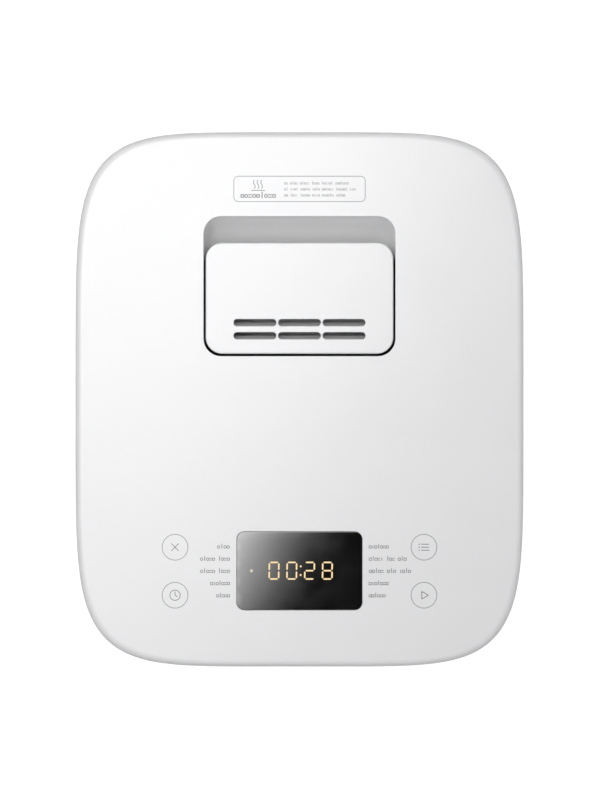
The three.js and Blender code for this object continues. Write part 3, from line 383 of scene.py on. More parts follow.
class Skin:
    """The points and faces of one piece, sewn together ring by ring."""

    def __init__(self):
        self.points = []
        self.faces = []

    def ring(self, points):
        start = len(self.points)
        self.points += points
        return list(range(start, len(self.points)))

    def sew(self, ring_a, ring_b):
        for i in range(len(ring_a)):
            j = (i + 1) % len(ring_a)
            self.faces.append((ring_a[i], ring_a[j], ring_b[j], ring_b[i]))

    def loft(self, rings, last=None):
        """Sews rings of points one after another, after the ring of ids last if it is given."""
        for points in rings:
            ids = self.ring(points)
            if last:
                self.sew(last, ids)
            last = ids
        return last

    def bore(self, ids, back, opening, place, radius, wall=None):
        """Rounds over a hole's edge, and joins it through the wall to the ring at the back."""
        rings = roll(opening, place, radius)
        if wall:
            rings.append([place(x, y, wall) for x, y in opening(0)])
        self.sew(self.loft(rings, ids), back)

    def close(self, ring):
        self.faces.append(tuple(ring))

    def cover(self, loops, place, step):
        """Triangles over the plan inside loops[0] and outside the rest; returns each loop's ids."""

        def within(point):
            return inside(point, loops[0]) and not any(inside(point, hole) for hole in loops[1:])

        rims = [point for loop in loops for point in loop]
        spans = []
        for loop in loops:
            start = spans[-1].stop if spans else 0
            spans.append(range(start, start + len(loop)))
        edges = [edge for span in spans for edge in zip(span, [*span[1:], span[0]])]
        points = list(rims)
        xs, ys = zip(*loops[0])
        for i in range(int((max(xs) - min(xs)) / step)):
            for j in range(int((max(ys) - min(ys)) / step)):
                point = (min(xs) + (i + 0.5 + 0.25 * (j % 2)) * step, min(ys) + (j + 0.5) * step)
                if all(math.dist(point, other) >= 0.6 * step for other in rims) and within(point):
                    points.append(point)
        made, _, triangles, origins, _, _ = delaunay_2d_cdt(list(map(Vector, points)), edges, [], 0, 1e-9)
        first = len(self.points)
        self.points += [place(*point) for point in made]
        for a, b, c in triangles:
            if within((made[a] + made[b] + made[c]) / 3):
                self.faces.append((first + a, first + b, first + c))
        found = {origin: first + i for i, sources in enumerate(origins) for origin in sources}
        return [[found[i] for i in span] for span in spans]

    def piece(self, name, finish, body, node=None, crease=35.0):
        mesh = bpy.data.meshes.new(name)
        mesh.from_pydata(self.points, [], self.faces)
        shape = bmesh.new()
        shape.from_mesh(mesh)
        bmesh.ops.remove_doubles(shape, verts=shape.verts, dist=1e-6)
        return fitted(shape, name, finish, body, node, crease)


gloss_white = Finish("gloss_white_plastic", "gloss_white", ior=1.5, specular_ior_level=0.25)
gloss_white.grained((35.0, 3.0), (0.803, 0.803, 0.81), (0.818, 0.818, 0.824), gloss=(0.3, 0.7, 0.22, 0.27))
gloss_white.bump(gloss_white.noise(420.0, 1.0), 0.00002, 0.35)

window = Room("display_window")
window_edge = pad(window.size, 4.7 * MM, (window.x, window.y), 10, 14)
well = Room("steam_well")
WELL_WALL = 2 * MM
WELL_SIZE = [side - 2 * WELL_WALL for side in well.size[:2]]
WELL_CORNER = 10.5 * MM
well_opening = pad(WELL_SIZE, WELL_CORNER, (well.x, well.y), 14, 18)


def window_opening(grow):
    return window_edge(grow + 0.15 * MM)


cover = Skin()
window_roll = 0.25 * MM
well_roll = 0.35 * MM
top_loops = [plan(EDGE_ROUND), window_opening(window_roll), well_opening(well_roll)]
rim, *edges = cover.cover(top_loops, lid_top, 7 * MM)
under_rim, *unders = cover.cover(top_loops, lambda x, y: lid_top(x, y, LID_WALL), 14 * MM)
cover.bore(edges[0], unders[0], window_opening, lid_top, window_roll, LID_WALL)
cover.bore(edges[1], unders[1], well_opening, lid_top, well_roll, LID_WALL)
outer = roll(plan, lid_top, EDGE_ROUND, steps=12)
for inset, height in [(0, 22), (0, 10), (0, 0.5), (0.15, 0.15), (0.5, 0), (2.2, 0), (2.6, 0.4), (2.6, 22)]:
    outer.append(raised(plan(inset * MM), lid.low.z + height * MM))
inner_bend = roll(
    lambda grow: plan(LID_WALL + grow),
    lambda x, y, depth: lid_top(x, y, LID_WALL + depth),
    EDGE_ROUND - LID_WALL, steps=6,
)
cover.sew(cover.loft(outer + inner_bend[::-1], rim), under_rim)
cover.piece("lid_shell", gloss_white, "lid", "lid_cover")


# ---- Display window ----
# A polished sheet of smoked acrylic, glued flush into the lid over the digits.

smoked = Finish("smoked_acrylic", "smoked_window", ior=1.76, specular_ior_level=1.0)
SMOKE = (0.0014, 0.0014, 0.0015), (0.0022, 0.0022, 0.0024)
smoked.grained((55.0, 2.0), *SMOKE, gloss=(0.3, 0.75, 0.05, 0.085))
WINDOW_THICK = 2 * MM
pane = Skin()
pane_roll = 0.3 * MM
(pane_ids,) = pane.cover([window_edge(-pane_roll)], lid_top, 5 * MM)
pane_bottom = [lid_top(x, y, WINDOW_THICK) for x, y in window_edge(0)]
pane.close(pane.loft([*roll(window_edge, lid_top, pane_roll, outward=True), pane_bottom], pane_ids))
pane.piece("window_pane", smoked, "lid", "display_window")


# ---- Steam well ----
# The moulded tray under the lid's opening. Its colour holds painted shade, near black under the cap,
# where the gap round the cap is in shadow, and painted light, paler towards the cap's rear edge
# against the cap's shadow. Its floor slopes up behind the cap, so that a finger can reach under the
# cap's rear edge. Its corners are filleted.

cap_box = Room("steam_cap")
CAP_REAR = cap_box.high.y
tray_painted_light_and_shade = Finish("tray_plastic_painted_light_and_shade", "grey_plastic", roughness=0.5, specular_ior_level=0.25)
tray_sparks = tray_painted_light_and_shade.noise(1400.0, 2.0)
_, tray_along, _ = tray_painted_light_and_shade.axes()
# Painted light: the tray's colour grows paler towards the cap's rear edge, to make up for the cap's shadow
# there.
painted_light_near_cap = tray_painted_light_and_shade.range(tray_along, CAP_REAR - 1 * MM, CAP_REAR + 15 * MM, 0.95, 0.15, "LINEAR")
painted_light_colour = tray_painted_light_and_shade.mix(painted_light_near_cap + tray_sparks * 0.05, (0.70, 0.70, 0.705), (0.97, 0.97, 0.975))
# Painted shade: under the cap the tray turns near black, so that the gap round the cap reads as a shadow.
painted_shade_colour = tray_painted_light_and_shade.mix(tray_sparks, (0.020, 0.020, 0.021), (0.035, 0.035, 0.036))
painted_shade_mask = tray_painted_light_and_shade.range(tray_along, CAP_REAR - 12 * MM, CAP_REAR - 1 * MM)
tray_painted_light_and_shade.put("Base Color", tray_painted_light_and_shade.mix(painted_shade_mask, painted_shade_colour, painted_light_colour))
tray_painted_light_and_shade.bump(tray_sparks, 0.00004, 0.5)

WELL_FLOOR = well.low.z + WELL_WALL
WELL_FILLET = 7 * MM
SCOOP_FOOT = CAP_REAR - 3 * MM
seal = Room("steam_seal")
VALVE_Y = seal.y
well_rear = well.y + WELL_SIZE[1] / 2
tray_top = LID_TOP - LID_WALL - 0.3 * MM


def tray_depth_in(x, y):
    """How far a place is inside the tray's wall."""
    away_x = WELL_SIZE[0] / 2 - WELL_CORNER - abs(x - well.x)
    away_y = WELL_SIZE[1] / 2 - WELL_CORNER - abs(y - well.y)
    if away_x < 0 and away_y < 0:
        return WELL_CORNER - math.hypot(away_x, away_y)
    return min(away_x, away_y) + WELL_CORNER


def tray_floor(x, y):
    climb = min(max((y - SCOOP_FOOT) / (well_rear - SCOOP_FOOT), 0.0), 1.0)
    rise = (tray_top - 4.5 * MM - WELL_FLOOR) * (0.25 * climb + 0.75 * climb**1.35)
    near = min(max(tray_depth_in(x, y), 0.0), WELL_FILLET)
    fillet = WELL_FILLET - math.sqrt(WELL_FILLET**2 - (WELL_FILLET - near) ** 2)
    share = 1.0 if climb > 0 else 0.4
    return (x, y, min(WELL_FLOOR + rise + fillet * share, tray_top - 1.5 * MM - CROWN * 0.6))


def level(height):
    """Places at one height, and a depth below it."""
    return lambda x, y, depth=0.0: (x, y, height - depth)


tray = Skin()
seal_hole = round_plan(seal.high.x + 0.5 * MM, 0, VALVE_Y, 40)
tray_outside = well_opening(WELL_WALL)
tray_ids, hole_ids = tray.cover([well_opening(-0.01 * MM), seal_hole], tray_floor, 2.6 * MM)
lips = [[lid_top(x, y, LID_WALL + 0.3 * MM) for x, y in edge] for edge in (well_opening(0), tray_outside)]
tray.loft([*lips, raised(tray_outside, well.low.z)], tray_ids)
tray.loft([raised(seal_hole, well.low.z)], hole_ids)
tray.cover([tray_outside, seal_hole], level(well.low.z), 20 * MM)
tray.piece("steam_tray", tray_painted_light_and_shade, "lid", "steam_well")


# ---- Steam cap ----
# The lift-off cap in the same gloss white as the lid, its top carrying on the lid's crown. Six
# round-ended slots in two rows let the steam out.

CAP_WALL = 2.2 * MM
SLOT_SIZE = (25.7 * MM, 4.3 * MM)
SLOT_PITCH = 26.8 * MM
SLOT_ROWS = [cap_box.low.y + row for row in (11.2 * MM, 19.1 * MM)]
cap_edge = pad([side - 0.4 * MM for side in cap_box.size], 10 * MM, (cap_box.x, cap_box.y + 0.2 * MM), 12, 18)
slots = []
for row in SLOT_ROWS:
    for column in (-1, 0, 1):
        slots.append(pad(SLOT_SIZE, SLOT_SIZE[1] / 2 - 0.02 * MM, (column * SLOT_PITCH, row), 8, 8))

cap = Skin()
cap_roll = 0.9 * MM
slot_roll = 0.3 * MM
slot_loops = [slot(slot_roll) for slot in slots]
edge_ids, *slot_ids = cap.cover([cap_edge(-cap_roll), *slot_loops], lid_top, 4 * MM)
cap_under, *slot_under = cap.cover(
    [cap_edge(-CAP_WALL - 1 * MM), *slot_loops], lambda x, y: lid_top(x, y, CAP_WALL), 8 * MM
)
for ids, under, slot in zip(slot_ids, slot_under, slots):
    cap.bore(ids, under, slot, lid_top, slot_roll, CAP_WALL)
skirt = roll(cap_edge, lid_top, cap_roll, outward=True, steps=8)
for grow, height in [(0, 0.4), (-0.12, 0.12), (-0.4, 0), (-1.8, 0), (-2.2, 0.4)]:
    skirt.append(raised(cap_edge(grow * MM), cap_box.low.z + height * MM))
skirt.append([lid_top(x, y, CAP_WALL + 1 * MM) for x, y in cap_edge(-CAP_WALL)])
cap.sew(cap.loft(skirt, edge_ids), cap_under)
cap.piece("valve_cap", gloss_white, "valve", "steam_cap")

# Two grey louvre blades hang under the slot rows and slope down to the rear, to turn the steam back.
LOUVRE_HALF = 41 * MM
LOUVRE_RUNS = 12
LOUVRE_THICK = 0.9 * MM
louvre_grey = Finish("louvre_grey_plastic", roughness=0.55, specular_ior_level=0.25)
louvre_grey.grained((1400.0, 2.0), (0.50, 0.50, 0.502), (0.56, 0.56, 0.562), (0.00004, 0.4))
blades = Skin()
for row in SLOT_ROWS:
    slope = [(row - 2.6 * MM, LID_TOP - CAP_WALL - 0.1 * MM), (row + 0.2 * MM, LID_TOP - CAP_WALL - 5.2 * MM)]
    section = slope + [(y, z - LOUVRE_THICK) for y, z in slope[::-1]]
    stations = [-LOUVRE_HALF + 2 * LOUVRE_HALF * i / LOUVRE_RUNS for i in range(LOUVRE_RUNS + 1)]
    last = blades.loft([[(x, y, z) for y, z in section] for x in stations])
    blades.close(last)
    blades.close([i - 4 * LOUVRE_RUNS for i in last])
blades.piece("slot_louvres", louvre_grey, "valve")


# ---- Steam cup, seal and ball ----
# Under the cap hang a grey moulded cup with a drain tube, its silicone seal, and a loose ball that
# closes the tube's seat. They lift out of the lid together for washing.


def turned(name, profile, finish, body, node, x, y, count=96):
    """A turned piece from its closed outline of (radius, height) in metres; radius 0 is the axis."""
    skin = Skin()
    ids = [skin.ring(raised(round_plan(max(radius, 1e-5), x, y, count), z)) for radius, z in profile]
    solid = profile[0][0] == 0.0
    for a, b in zip(ids, ids[1:] if solid else ids[1:] + ids[:1]):
        skin.sew(a, b)
    if solid:
        skin.close(ids[0])
        skin.close(ids[-1])
    return skin.piece(name, finish, body, node)


def rising(height):
    """Places at one height, and a depth above it, for a face that looks down."""
    return lambda x, y, depth=0.0: (x, y, height + depth)


def tube_ring(radius):
    return round_plan(radius, 0, VALVE_Y, 48)


grey_plastic = Finish("grey_moulded_plastic", "grey_plastic", roughness=0.5)
grey_plastic.grained((1400.0, 2.0), (0.36, 0.36, 0.365), (0.43, 0.43, 0.435), (0.00004, 0.5))
cup_box = Room("steam_cup")
CUP_WALL = 1.8 * MM
CUP_FLOOR = seal.high.z + 0.3 * MM
cup_low = cup_box.low.z
cup_top = min(cup_box.high.z, LID_TOP - 4.6 * MM)
cup_edge = pad(cup_box.size, 8 * MM, (0.0, cup_box.y))

cup = Skin()
cup_loops = [cup_edge(-CUP_WALL - 2 * MM), tube_ring(7.9 * MM)]
floor_ids, seat_ids = cup.cover(cup_loops, level(CUP_FLOOR + CUP_WALL), 12 * MM)
cup_rings = roll(lambda grow: cup_edge(grow - CUP_WALL), rising(CUP_FLOOR + CUP_WALL), 2 * MM, True, 4)
for grow, drop in [(-CUP_WALL, 0.4), (-CUP_WALL + 0.4 * MM, 0), (-0.4 * MM, 0), (0, 0.4)]:
    cup_rings.append(raised(cup_edge(grow), cup_top - drop * MM))
cup_rings += roll(cup_edge, rising(CUP_FLOOR), 3 * MM, True, 4)[::-1]
cup_outside = cup.loft(cup_rings, floor_ids)
under_ids, tube_ids = cup.cover([cup_edge(-3 * MM), tube_ring(9 * MM)], level(CUP_FLOOR), 12 * MM)
tube = [(7.2, CUP_FLOOR + 0.8 * MM), (7, CUP_FLOOR), (7, cup_low + 0.4 * MM), (7.3, cup_low), (8.6, cup_low)]
tube_rings = [raised(tube_ring(radius * MM), z) for radius, z in [*tube, (9, cup_low + 0.5 * MM)]]
cup.sew(cup.loft(tube_rings, seat_ids), tube_ids)
cup.sew(cup_outside, under_ids)
cup.piece("starch_cup", grey_plastic, "valve", "steam_cup")

silicone = Finish("milky_silicone", "silicone", roughness=0.45, subsurface_weight=0.15)
silicone.put("Subsurface Scale", 0.004)
silicone.grained((60.0, 3.0), (0.58, 0.58, 0.56), (0.68, 0.68, 0.65))
silicone.bump(silicone.noise(900.0, 1.0), 0.00002, 0.4)

seal_in, seal_out = 9.3 * MM, seal.high.x
seal_profile = [(seal_in, seal.low.z + 0.3 * MM), (seal_in + 0.3 * MM, seal.low.z)]
seal_profile += [(seal_out - 0.6 * MM, seal.low.z), (seal_out, seal.low.z + 0.6 * MM)]
for rib in range(3):
    middle = seal.low.z + (0.28 + 0.25 * rib) * seal.size[2]
    for inward, rise in [(1, -0.7), (0, -0.25), (0, 0.25), (1, 0.7)]:
        seal_profile.append((seal_out - inward * MM, middle + rise * MM))
seal_profile += [(seal_out - 0.6 * MM, seal.high.z), (seal_in, seal.high.z)]
turned("tube_seal", seal_profile, silicone, "valve", "steam_seal", 0, VALVE_Y)

ball = Room("steam_ball")
BALL_RADIUS = ball.size[2] / 2
BALL_STEPS = 24
ball_profile = []
for step in range(BALL_STEPS + 1):
    angle = math.pi * step / BALL_STEPS
    seam = 0.12 * MM if step == BALL_STEPS // 2 else 0.0
    ball_profile.append((BALL_RADIUS * math.sin(angle) - seam, ball.z - BALL_RADIUS * math.cos(angle)))
turned("float_ball", ball_profile, silicone, "ball", "steam_ball", 0, ball.y, 48)


# ---- Digits ----
# Warm white segments of a four-digit clock with its colon, and one small lamp beside them, seen
# through the smoked window. Each is a thin lit film on the window's face.

PROUD = 0.03 * MM
SUNK = 0.25 * MM
lit = Finish("lit_segments", base_color=(0.10, 0.07, 0.03), roughness=0.3, specular_ior_level=0.25)
lamp = lit.range(lit.axes()[0], -0.027, -0.026)
digit_glow = lit.mix(lit.noise(900.0, 1.0), (0.88, 0.66, 0.34), (0.94, 0.73, 0.41))
lit.put("Emission Color", lit.mix(lamp, (0.50, 0.49, 0.38), digit_glow))
lit.put("Emission Strength", 1.0)


def stepped(loop, step=4 * MM):
    """The loop with points added along its long straight runs, so that it can follow the crown."""
    points = []
    for (x0, y0), (x1, y1) in zip(loop, loop[1:] + loop[:1]):
        count = max(int(math.dist((x0, y0), (x1, y1)) / step), 1)
        points += [(x0 + (x1 - x0) * i / count, y0 + (y1 - y0) * i / count) for i in range(count)]
    return points


def film(skin, *outlines):
    """Adds a thin plate that follows the lid's crown, from its outline and any holes in it."""
    loops = [stepped(outline) for outline in outlines]
    top = skin.cover(loops, lambda x, y: lid_top(x, y, -PROUD), 6 * MM)
    bottom = skin.cover(loops, lambda x, y: lid_top(x, y, SUNK), 6 * MM)
    for upper, lower in zip(top, bottom):
        skin.sew(upper, lower)


DIGIT_HEIGHT = 10.9 * MM
DIGIT_WIDTH = 6.6 * MM
DIGIT_PITCH = 10.7 * MM
STROKE = 0.92 * MM
LEAN = 0.015
SEGMENTS = {"0": "abcdef", "2": "abged", "8": "abcdefg"}
SIDES = {"a": (0, 2), "g": (0, 0), "d": (0, -2), "b": (1, 1), "c": (1, -1), "e": (-1, -1), "f": (-1, 1)}
row_x, row_y = 0.7 * MM, window.y + 0.1 * MM


def segment(letter):
    """A mitred bar of a seven-segment digit, about the digit's own centre."""
    half_w = (DIGIT_WIDTH - STROKE) / 2
    half_h = (DIGIT_HEIGHT - STROKE) / 4
    side, rise = SIDES[letter]
    reach = (half_h if side else half_w) - 0.36 * MM
    tip = STROKE / 2
    half_bar = [(-reach, 0), (-reach + tip, -tip), (reach - tip, -tip)]
    points = half_bar + [(-u, -v) for u, v in half_bar]
    return [(side * half_w - v, rise * half_h + u) if side else (u, rise * half_h + v) for u, v in points]


def leaning(points, x):
    return [(x + row_x + u + LEAN * v, row_y + v) for u, v in points]


digits = Skin()
for place, digit in zip((-1.5, -0.5, 0.5, 1.5), "0028"):
    for letter in SEGMENTS[digit]:
        film(digits, leaning(segment(letter), place * DIGIT_PITCH))
for height in (-2.6, 2.6):
    dot = pad((1.2 * MM, 1.2 * MM), 0.58 * MM)()
    film(digits, leaning([(u, v + height * MM) for u, v in dot], 0))
film(digits, pad((1.9 * MM, 1.9 * MM), 0.94 * MM, (window.x - 28.9 * MM, window.y))())
digits.piece("clock_digits", lit, "lid")


# ---- Prints on the lid ----
# Thin grey pad prints: rings for the four touch keys with a pictogram in each, a row of small marks
# for every cooking function, and an outlined panel with a steam sign at the rear.

print_grey = Finish("grey_pad_print", roughness=0.4, specular_ior_level=0.25)
print_grey.grained((1500.0, 2.0), (0.11, 0.11, 0.115), (0.18, 0.18, 0.185))
faint_grey = Finish("light_grey_pad_print", roughness=0.4, specular_ior_level=0.25)
faint_grey.grained((1500.0, 2.0), (0.23, 0.23, 0.235), (0.31, 0.31, 0.315))
LINE = 0.42 * MM


def ring_print(skin, x, y, radius, line, steps=72):
    film(skin, round_plan(radius, x, y, steps), round_plan(radius - line, x, y, steps))


def bar(skin, x0, y0, x1, y1, line=LINE):
    """A straight stroke with round ends."""
    along = Vector((x1 - x0, y1 - y0))
    length = along.length
    along.normalize()
    across = Vector((-along.y, along.x))
    middle = Vector(((x0 + x1) / 2, (y0 + y1) / 2))
    points = pad((length + line, line), line / 2 - 1e-6, steps=3)()
    film(skin, [tuple(middle + along * u + across * v) for u, v in points])


def softened(corners, steps):
    """A closed outline with its corners rounded; each corner is (x, y, radius)."""
    points = []
    for i, (*corner, bend) in enumerate(corners):
        here = Vector(corner)
        before, after = [Vector(corners[j % len(corners)][:2]) - here for j in (i - 1, i + 1)]
        opening = before.angle(after)
        cut = min(bend / math.tan(opening / 2), 0.48 * before.length, 0.48 * after.length)
        bend = cut * math.tan(opening / 2)
        inwards = (before.normalized() + after.normalized()).normalized()
        middle = here + inwards * (bend / math.sin(opening / 2))
        start = here + before.normalized() * cut - middle
        turn = start.angle_signed(here + after.normalized() * cut - middle)
        for step in range(steps + 1):
            angle = -turn * step / steps
            x = start.x * math.cos(angle) - start.y * math.sin(angle)
            y = start.x * math.sin(angle) + start.y * math.cos(angle)
            points.append((middle.x + x, middle.y + y))
    return points


KEY_X = 74.9 * MM
UPPER, LOWER = window.y + 14.2 * MM, window.y - 14.7 * MM
rings = Skin()
for side in (-1, 1):
    for y in (UPPER, LOWER):
        ring_print(rings, side * KEY_X, y, 7.95 * MM, LINE)
rings.piece("key_rings", faint_grey, "lid")

signs = Skin()
arm = 2.1 * MM
for up in (1, -1):
    bar(signs, -KEY_X - arm, UPPER - arm * up, -KEY_X + arm, UPPER + arm * up)
ring_print(signs, -KEY_X, LOWER, 3.3 * MM, LINE, 40)
bar(signs, -KEY_X, LOWER + 2.0 * MM, -KEY_X, LOWER)
bar(signs, -KEY_X, LOWER, -KEY_X + 1.4 * MM, LOWER - 0.8 * MM)
for rise in (-1.8, 0, 1.8):
    y = UPPER + rise * MM
    bar(signs, KEY_X - 1.5 * MM, y, KEY_X + 2.9 * MM, y)
    film(signs, pad((0.7 * MM, 0.7 * MM), 0.34 * MM, (KEY_X - 2.9 * MM, y), 4)())
triangle = []
for size in (1.0, 0.72):
    points = [(KEY_X + 3.1 * MM * size * u, LOWER + 3.1 * MM * size * v) for u, v in round_plan(1, count=3)]
    triangle.append(softened([(*point, 0.4 * MM * size) for point in points], 3))
film(signs, *triangle)
signs.piece("key_signs", print_grey, "lid")

ROW_PITCH = 7.36 * MM
MARKS = ("ring", "tall", "pair", "box", "ring", "short", "tall", "pair", "box", "ring")


def scribble(skin, x, y, width, line=0.38 * MM, tall=2.1 * MM, gaps=(5, 9, 15)):
    """A row of small generic marks, the size of a printed word, which spell nothing."""
    count = max(round(width / (0.84 * tall)), 1)
    step = width / count
    for place in range(count):
        if place in gaps and place < count - 2:
            continue
        at = x + (place + 0.5) * step
        mark = MARKS[(place * 3 + round(width * 1000)) % 10]
        if place in (0, count - 1):
            mark = ("ring", "box")[count % 2]
        if mark == "ring":
            ring_print(skin, at, y, tall * 0.46, line, 20)
        elif mark == "box":
            box = pad((tall * 0.84, tall * 0.84), tall * 0.14, (at, y), 2)
            film(skin, box(), box(-line))
        elif mark == "pair":
            for rise in (-0.27, 0.27):
                bar(skin, at - tall * 0.3, y + tall * rise, at + tall * 0.3, y + tall * rise, line)
        else:
            bar(skin, at, y - tall * 0.4, at, y + tall * {"tall": 0.85, "short": 0.38}[mark], line)


rows = Skin()
for place, (left, right) in enumerate([(7.7, 11.9), (17.9, 22.7), (17.9, 25.4), (11.8, 11.8), (8.1, 10.0)]):
    y = window.y + (2.0 - place) * ROW_PITCH - 0.35 * MM
    scribble(rows, (-41.9 - left) * MM, y, left * MM)
    scribble(rows, 41.7 * MM, y, right * MM)
rows.piece("function_rows", print_grey, "lid")

PANEL_Y = 126.6 * MM
STEAM_LINE = 0.5 * MM
panel = Skin()
panel_edge = pad((79.5 * MM, 15.7 * MM), 3 * MM, (0, PANEL_Y), 6)
film(panel, panel_edge(0), panel_edge(-LINE))
for wave in (-2.2, 0, 2.2):
    x = (-25.0 + wave) * MM
    rises = [(0.55 * math.sin(math.tau * i / 12), 0.2 + 0.42 * i) for i in range(13)]
    bends = [(x + sway * MM, PANEL_Y + rise * MM) for sway, rise in rises]
    for start, end in zip(bends[::2], bends[2::2]):
        bar(panel, *start, *end, STEAM_LINE)
bar(panel, -29 * MM, PANEL_Y - 0.9 * MM, -21 * MM, PANEL_Y - 0.9 * MM, STEAM_LINE)
scribble(panel, -35.6 * MM, PANEL_Y - 4.2 * MM, 21.4 * MM, 0.72 * MM, 2.7 * MM, ())
for row, width in enumerate((38.7, 42.9, 36.8)):
    y = PANEL_Y + (3.3 - 3.6 * row) * MM
    scribble(panel, -9.2 * MM, y, width * MM, 0.3 * MM, 1.4 * MM, (2, 7, 13, 18, 25, 32))
panel.piece("steam_panel", faint_grey, "lid")


# ---- Body shell ----
# The outer housing: one tapering moulded wall in gloss white, turned in at the foot. It has a pill
# shaped hole for the button, a square one for the power inlet and a notch for the hinge.

housing = Room("outer_housing")
SHELL_WALL = 2.6 * MM
TAPER = 5 * MM
FOOT_ROUND = 6 * MM
outline = plan(0, 2880)
lengths = [0.0]
for here, there in zip(outline, outline[1:] + outline[:1]):
    lengths.append(lengths[-1] + math.dist(here, there))
GIRTH = lengths[-1]


def length_at(x, y):
    """How far along the outline, from its right-hand side, the point nearest to (x, y) is."""
    nearest = min(range(len(outline)), key=lambda i: math.dist(outline[i], (x, y)))
    return lengths[nearest]


def on_shell(length, z, depth=0.0):
    """The point of the wall at a length along the outline and a height, or a depth inside it."""
    low = bisect(lengths, length, 1, len(outline)) - 1
    turn = (low + (length - lengths[low]) / (lengths[low + 1] - lengths[low])) / len(outline)
    height = min(max(z, housing.low.z), housing.high.z)
    foot = FOOT_ROUND - min(height - housing.low.z, FOOT_ROUND)
    inset = TAPER * ((housing.high.z - height) / housing.size[2]) ** 1.6
    inset += FOOT_ROUND - math.sqrt(FOOT_ROUND**2 - foot**2)
    return (*on_outline(math.tau * turn, inset + depth), z)


button_box = Room("release_button")
BUTTON_Z = button_box.z
BUTTON_SIZE = (52 * MM, 18 * MM)
inlet = Room("power_inlet")
INLET_BODY = (inlet.size[0] - 7 * MM, inlet.size[2] + 0.8 * MM - 7 * MM)
hinge = Room("hinge_block")
NOTCH_HALF = hinge.high.x + 1 * MM
NOTCH_BOTTOM = hinge.low.z - 1.2 * MM
front_length = length_at(0, -HALF_DEPTH)
rear_length = length_at(0, HALF_DEPTH)
button_hole = pad([side + 0.8 * MM for side in BUTTON_SIZE], 9.39 * MM, (front_length, BUTTON_Z), 12)
inlet_hole = pad(INLET_BODY, 3 * MM, (length_at(inlet.x, HALF_DEPTH), inlet.z), 4)


def shell_outline(grow):
    """The unrolled wall's edge, anticlockwise, drawn in by grow except at the seam."""
    bottom, top, notch = housing.low.z + grow, housing.high.z - grow, NOTCH_BOTTOM - grow
    left, right = rear_length - NOTCH_HALF - grow, rear_length + NOTCH_HALF + grow
    corners = [(0.0, bottom), (GIRTH, bottom), (GIRTH, top), (right, top), (right, notch)]
    corners += [(left, notch), (left, top), (0.0, top), (0.0, bottom)]
    points = []
    for start, end, count in zip(corners, corners[1:], (288, 26, 150, 8, 24, 8, 60, 26)):
        points += [tuple(a + (b - a) * i / count for a, b in zip(start, end)) for i in range(count)]
    return points


SHELL_ROLL = 0.9 * MM
shell = Skin()
shell_loops = [shell_outline(SHELL_ROLL), button_hole(0.6 * MM), inlet_hole(0.3 * MM)]
outer_ids = shell.cover(shell_loops, on_shell, 6.5 * MM)
inner_loops = [shell_outline(0), button_hole(0), inlet_hole(0)]
inner_ids = shell.cover(inner_loops, lambda length, z: on_shell(length, z, SHELL_WALL), 14 * MM)
seam = [length if length in (0.0, GIRTH) else None for length, _ in shell_loops[0]]


def sew_rim(ring_a, ring_b):
    """Sews the wall's edge, but not along the seam, where the wall meets itself."""
    for i in range(len(ring_a)):
        j = (i + 1) % len(ring_a)
        if seam[i] is None or seam[i] != seam[j]:
            shell.faces.append((ring_a[i], ring_a[j], ring_b[j], ring_b[i]))


last = outer_ids[0]
for points in roll(shell_outline, on_shell, SHELL_ROLL, steps=4):
    ids = shell.ring(points)
    sew_rim(last, ids)
    last = ids
sew_rim(last, inner_ids[0])
for place, hole, radius in [(1, button_hole, 0.6 * MM), (2, inlet_hole, 0.3 * MM)]:
    shell.bore(outer_ids[place], inner_ids[place], hole, on_shell, radius)
shell.piece("body_shell", gloss_white, "body", "outer_housing", 40)


# ---- Release button ----
# A gloss white pill in the front wall, with a flange behind the wall that stops it and a stem that
# reaches back to the latch lever.

FLANGE_FRONT = button_box.low.y + 3.4 * MM
FLANGE_BACK = FLANGE_FRONT + 1.6 * MM
STEM_END = button_box.high.y
pill = pad(BUTTON_SIZE, 8.99 * MM, (0, BUTTON_Z), 12)
flange = pad((60 * MM, 22 * MM), 4 * MM, (0, BUTTON_Z), 12)
stem = pad((10 * MM, 4 * MM), 0.8 * MM, (0, BUTTON_Z), 12)


def facing_front(x, z, depth=0.0):
    bulge = 0.5 * MM * ((x / (BUTTON_SIZE[0] / 2)) ** 2 + ((z - BUTTON_Z) / (BUTTON_SIZE[1] / 2)) ** 2)
    return (x, button_box.low.y + min(bulge, 1.0 * MM) * 0.6 + depth, z)


button = Skin()
(pill_ids,) = button.cover([pill(-1.2 * MM)], facing_front, 3 * MM)
button_rings = roll(pill, facing_front, 1.2 * MM, outward=True, steps=6)
for shape, grow, y in [
    (pill, 0, FLANGE_FRONT), (flange, -0.3, FLANGE_FRONT), (flange, 0, FLANGE_FRONT + 0.3 * MM),
    (flange, 0, FLANGE_BACK - 0.3 * MM), (flange, -0.3, FLANGE_BACK), (stem, 0, FLANGE_BACK),
    (stem, 0, STEM_END - 0.3 * MM), (stem, -0.3, STEM_END),
]:
    button_rings.append([(x, y, z) for x, z in shape(grow * MM)])
button.close(button.loft(button_rings, pill_ids))
button.piece("front_button", gloss_white, "button", "release_button")


# ---- Hinge block ----
# A moulded white block, screwed under the lid's rear edge, that turns on a steel shaft between two
# brackets in the body. A torsion spring sits in a pocket at each end.


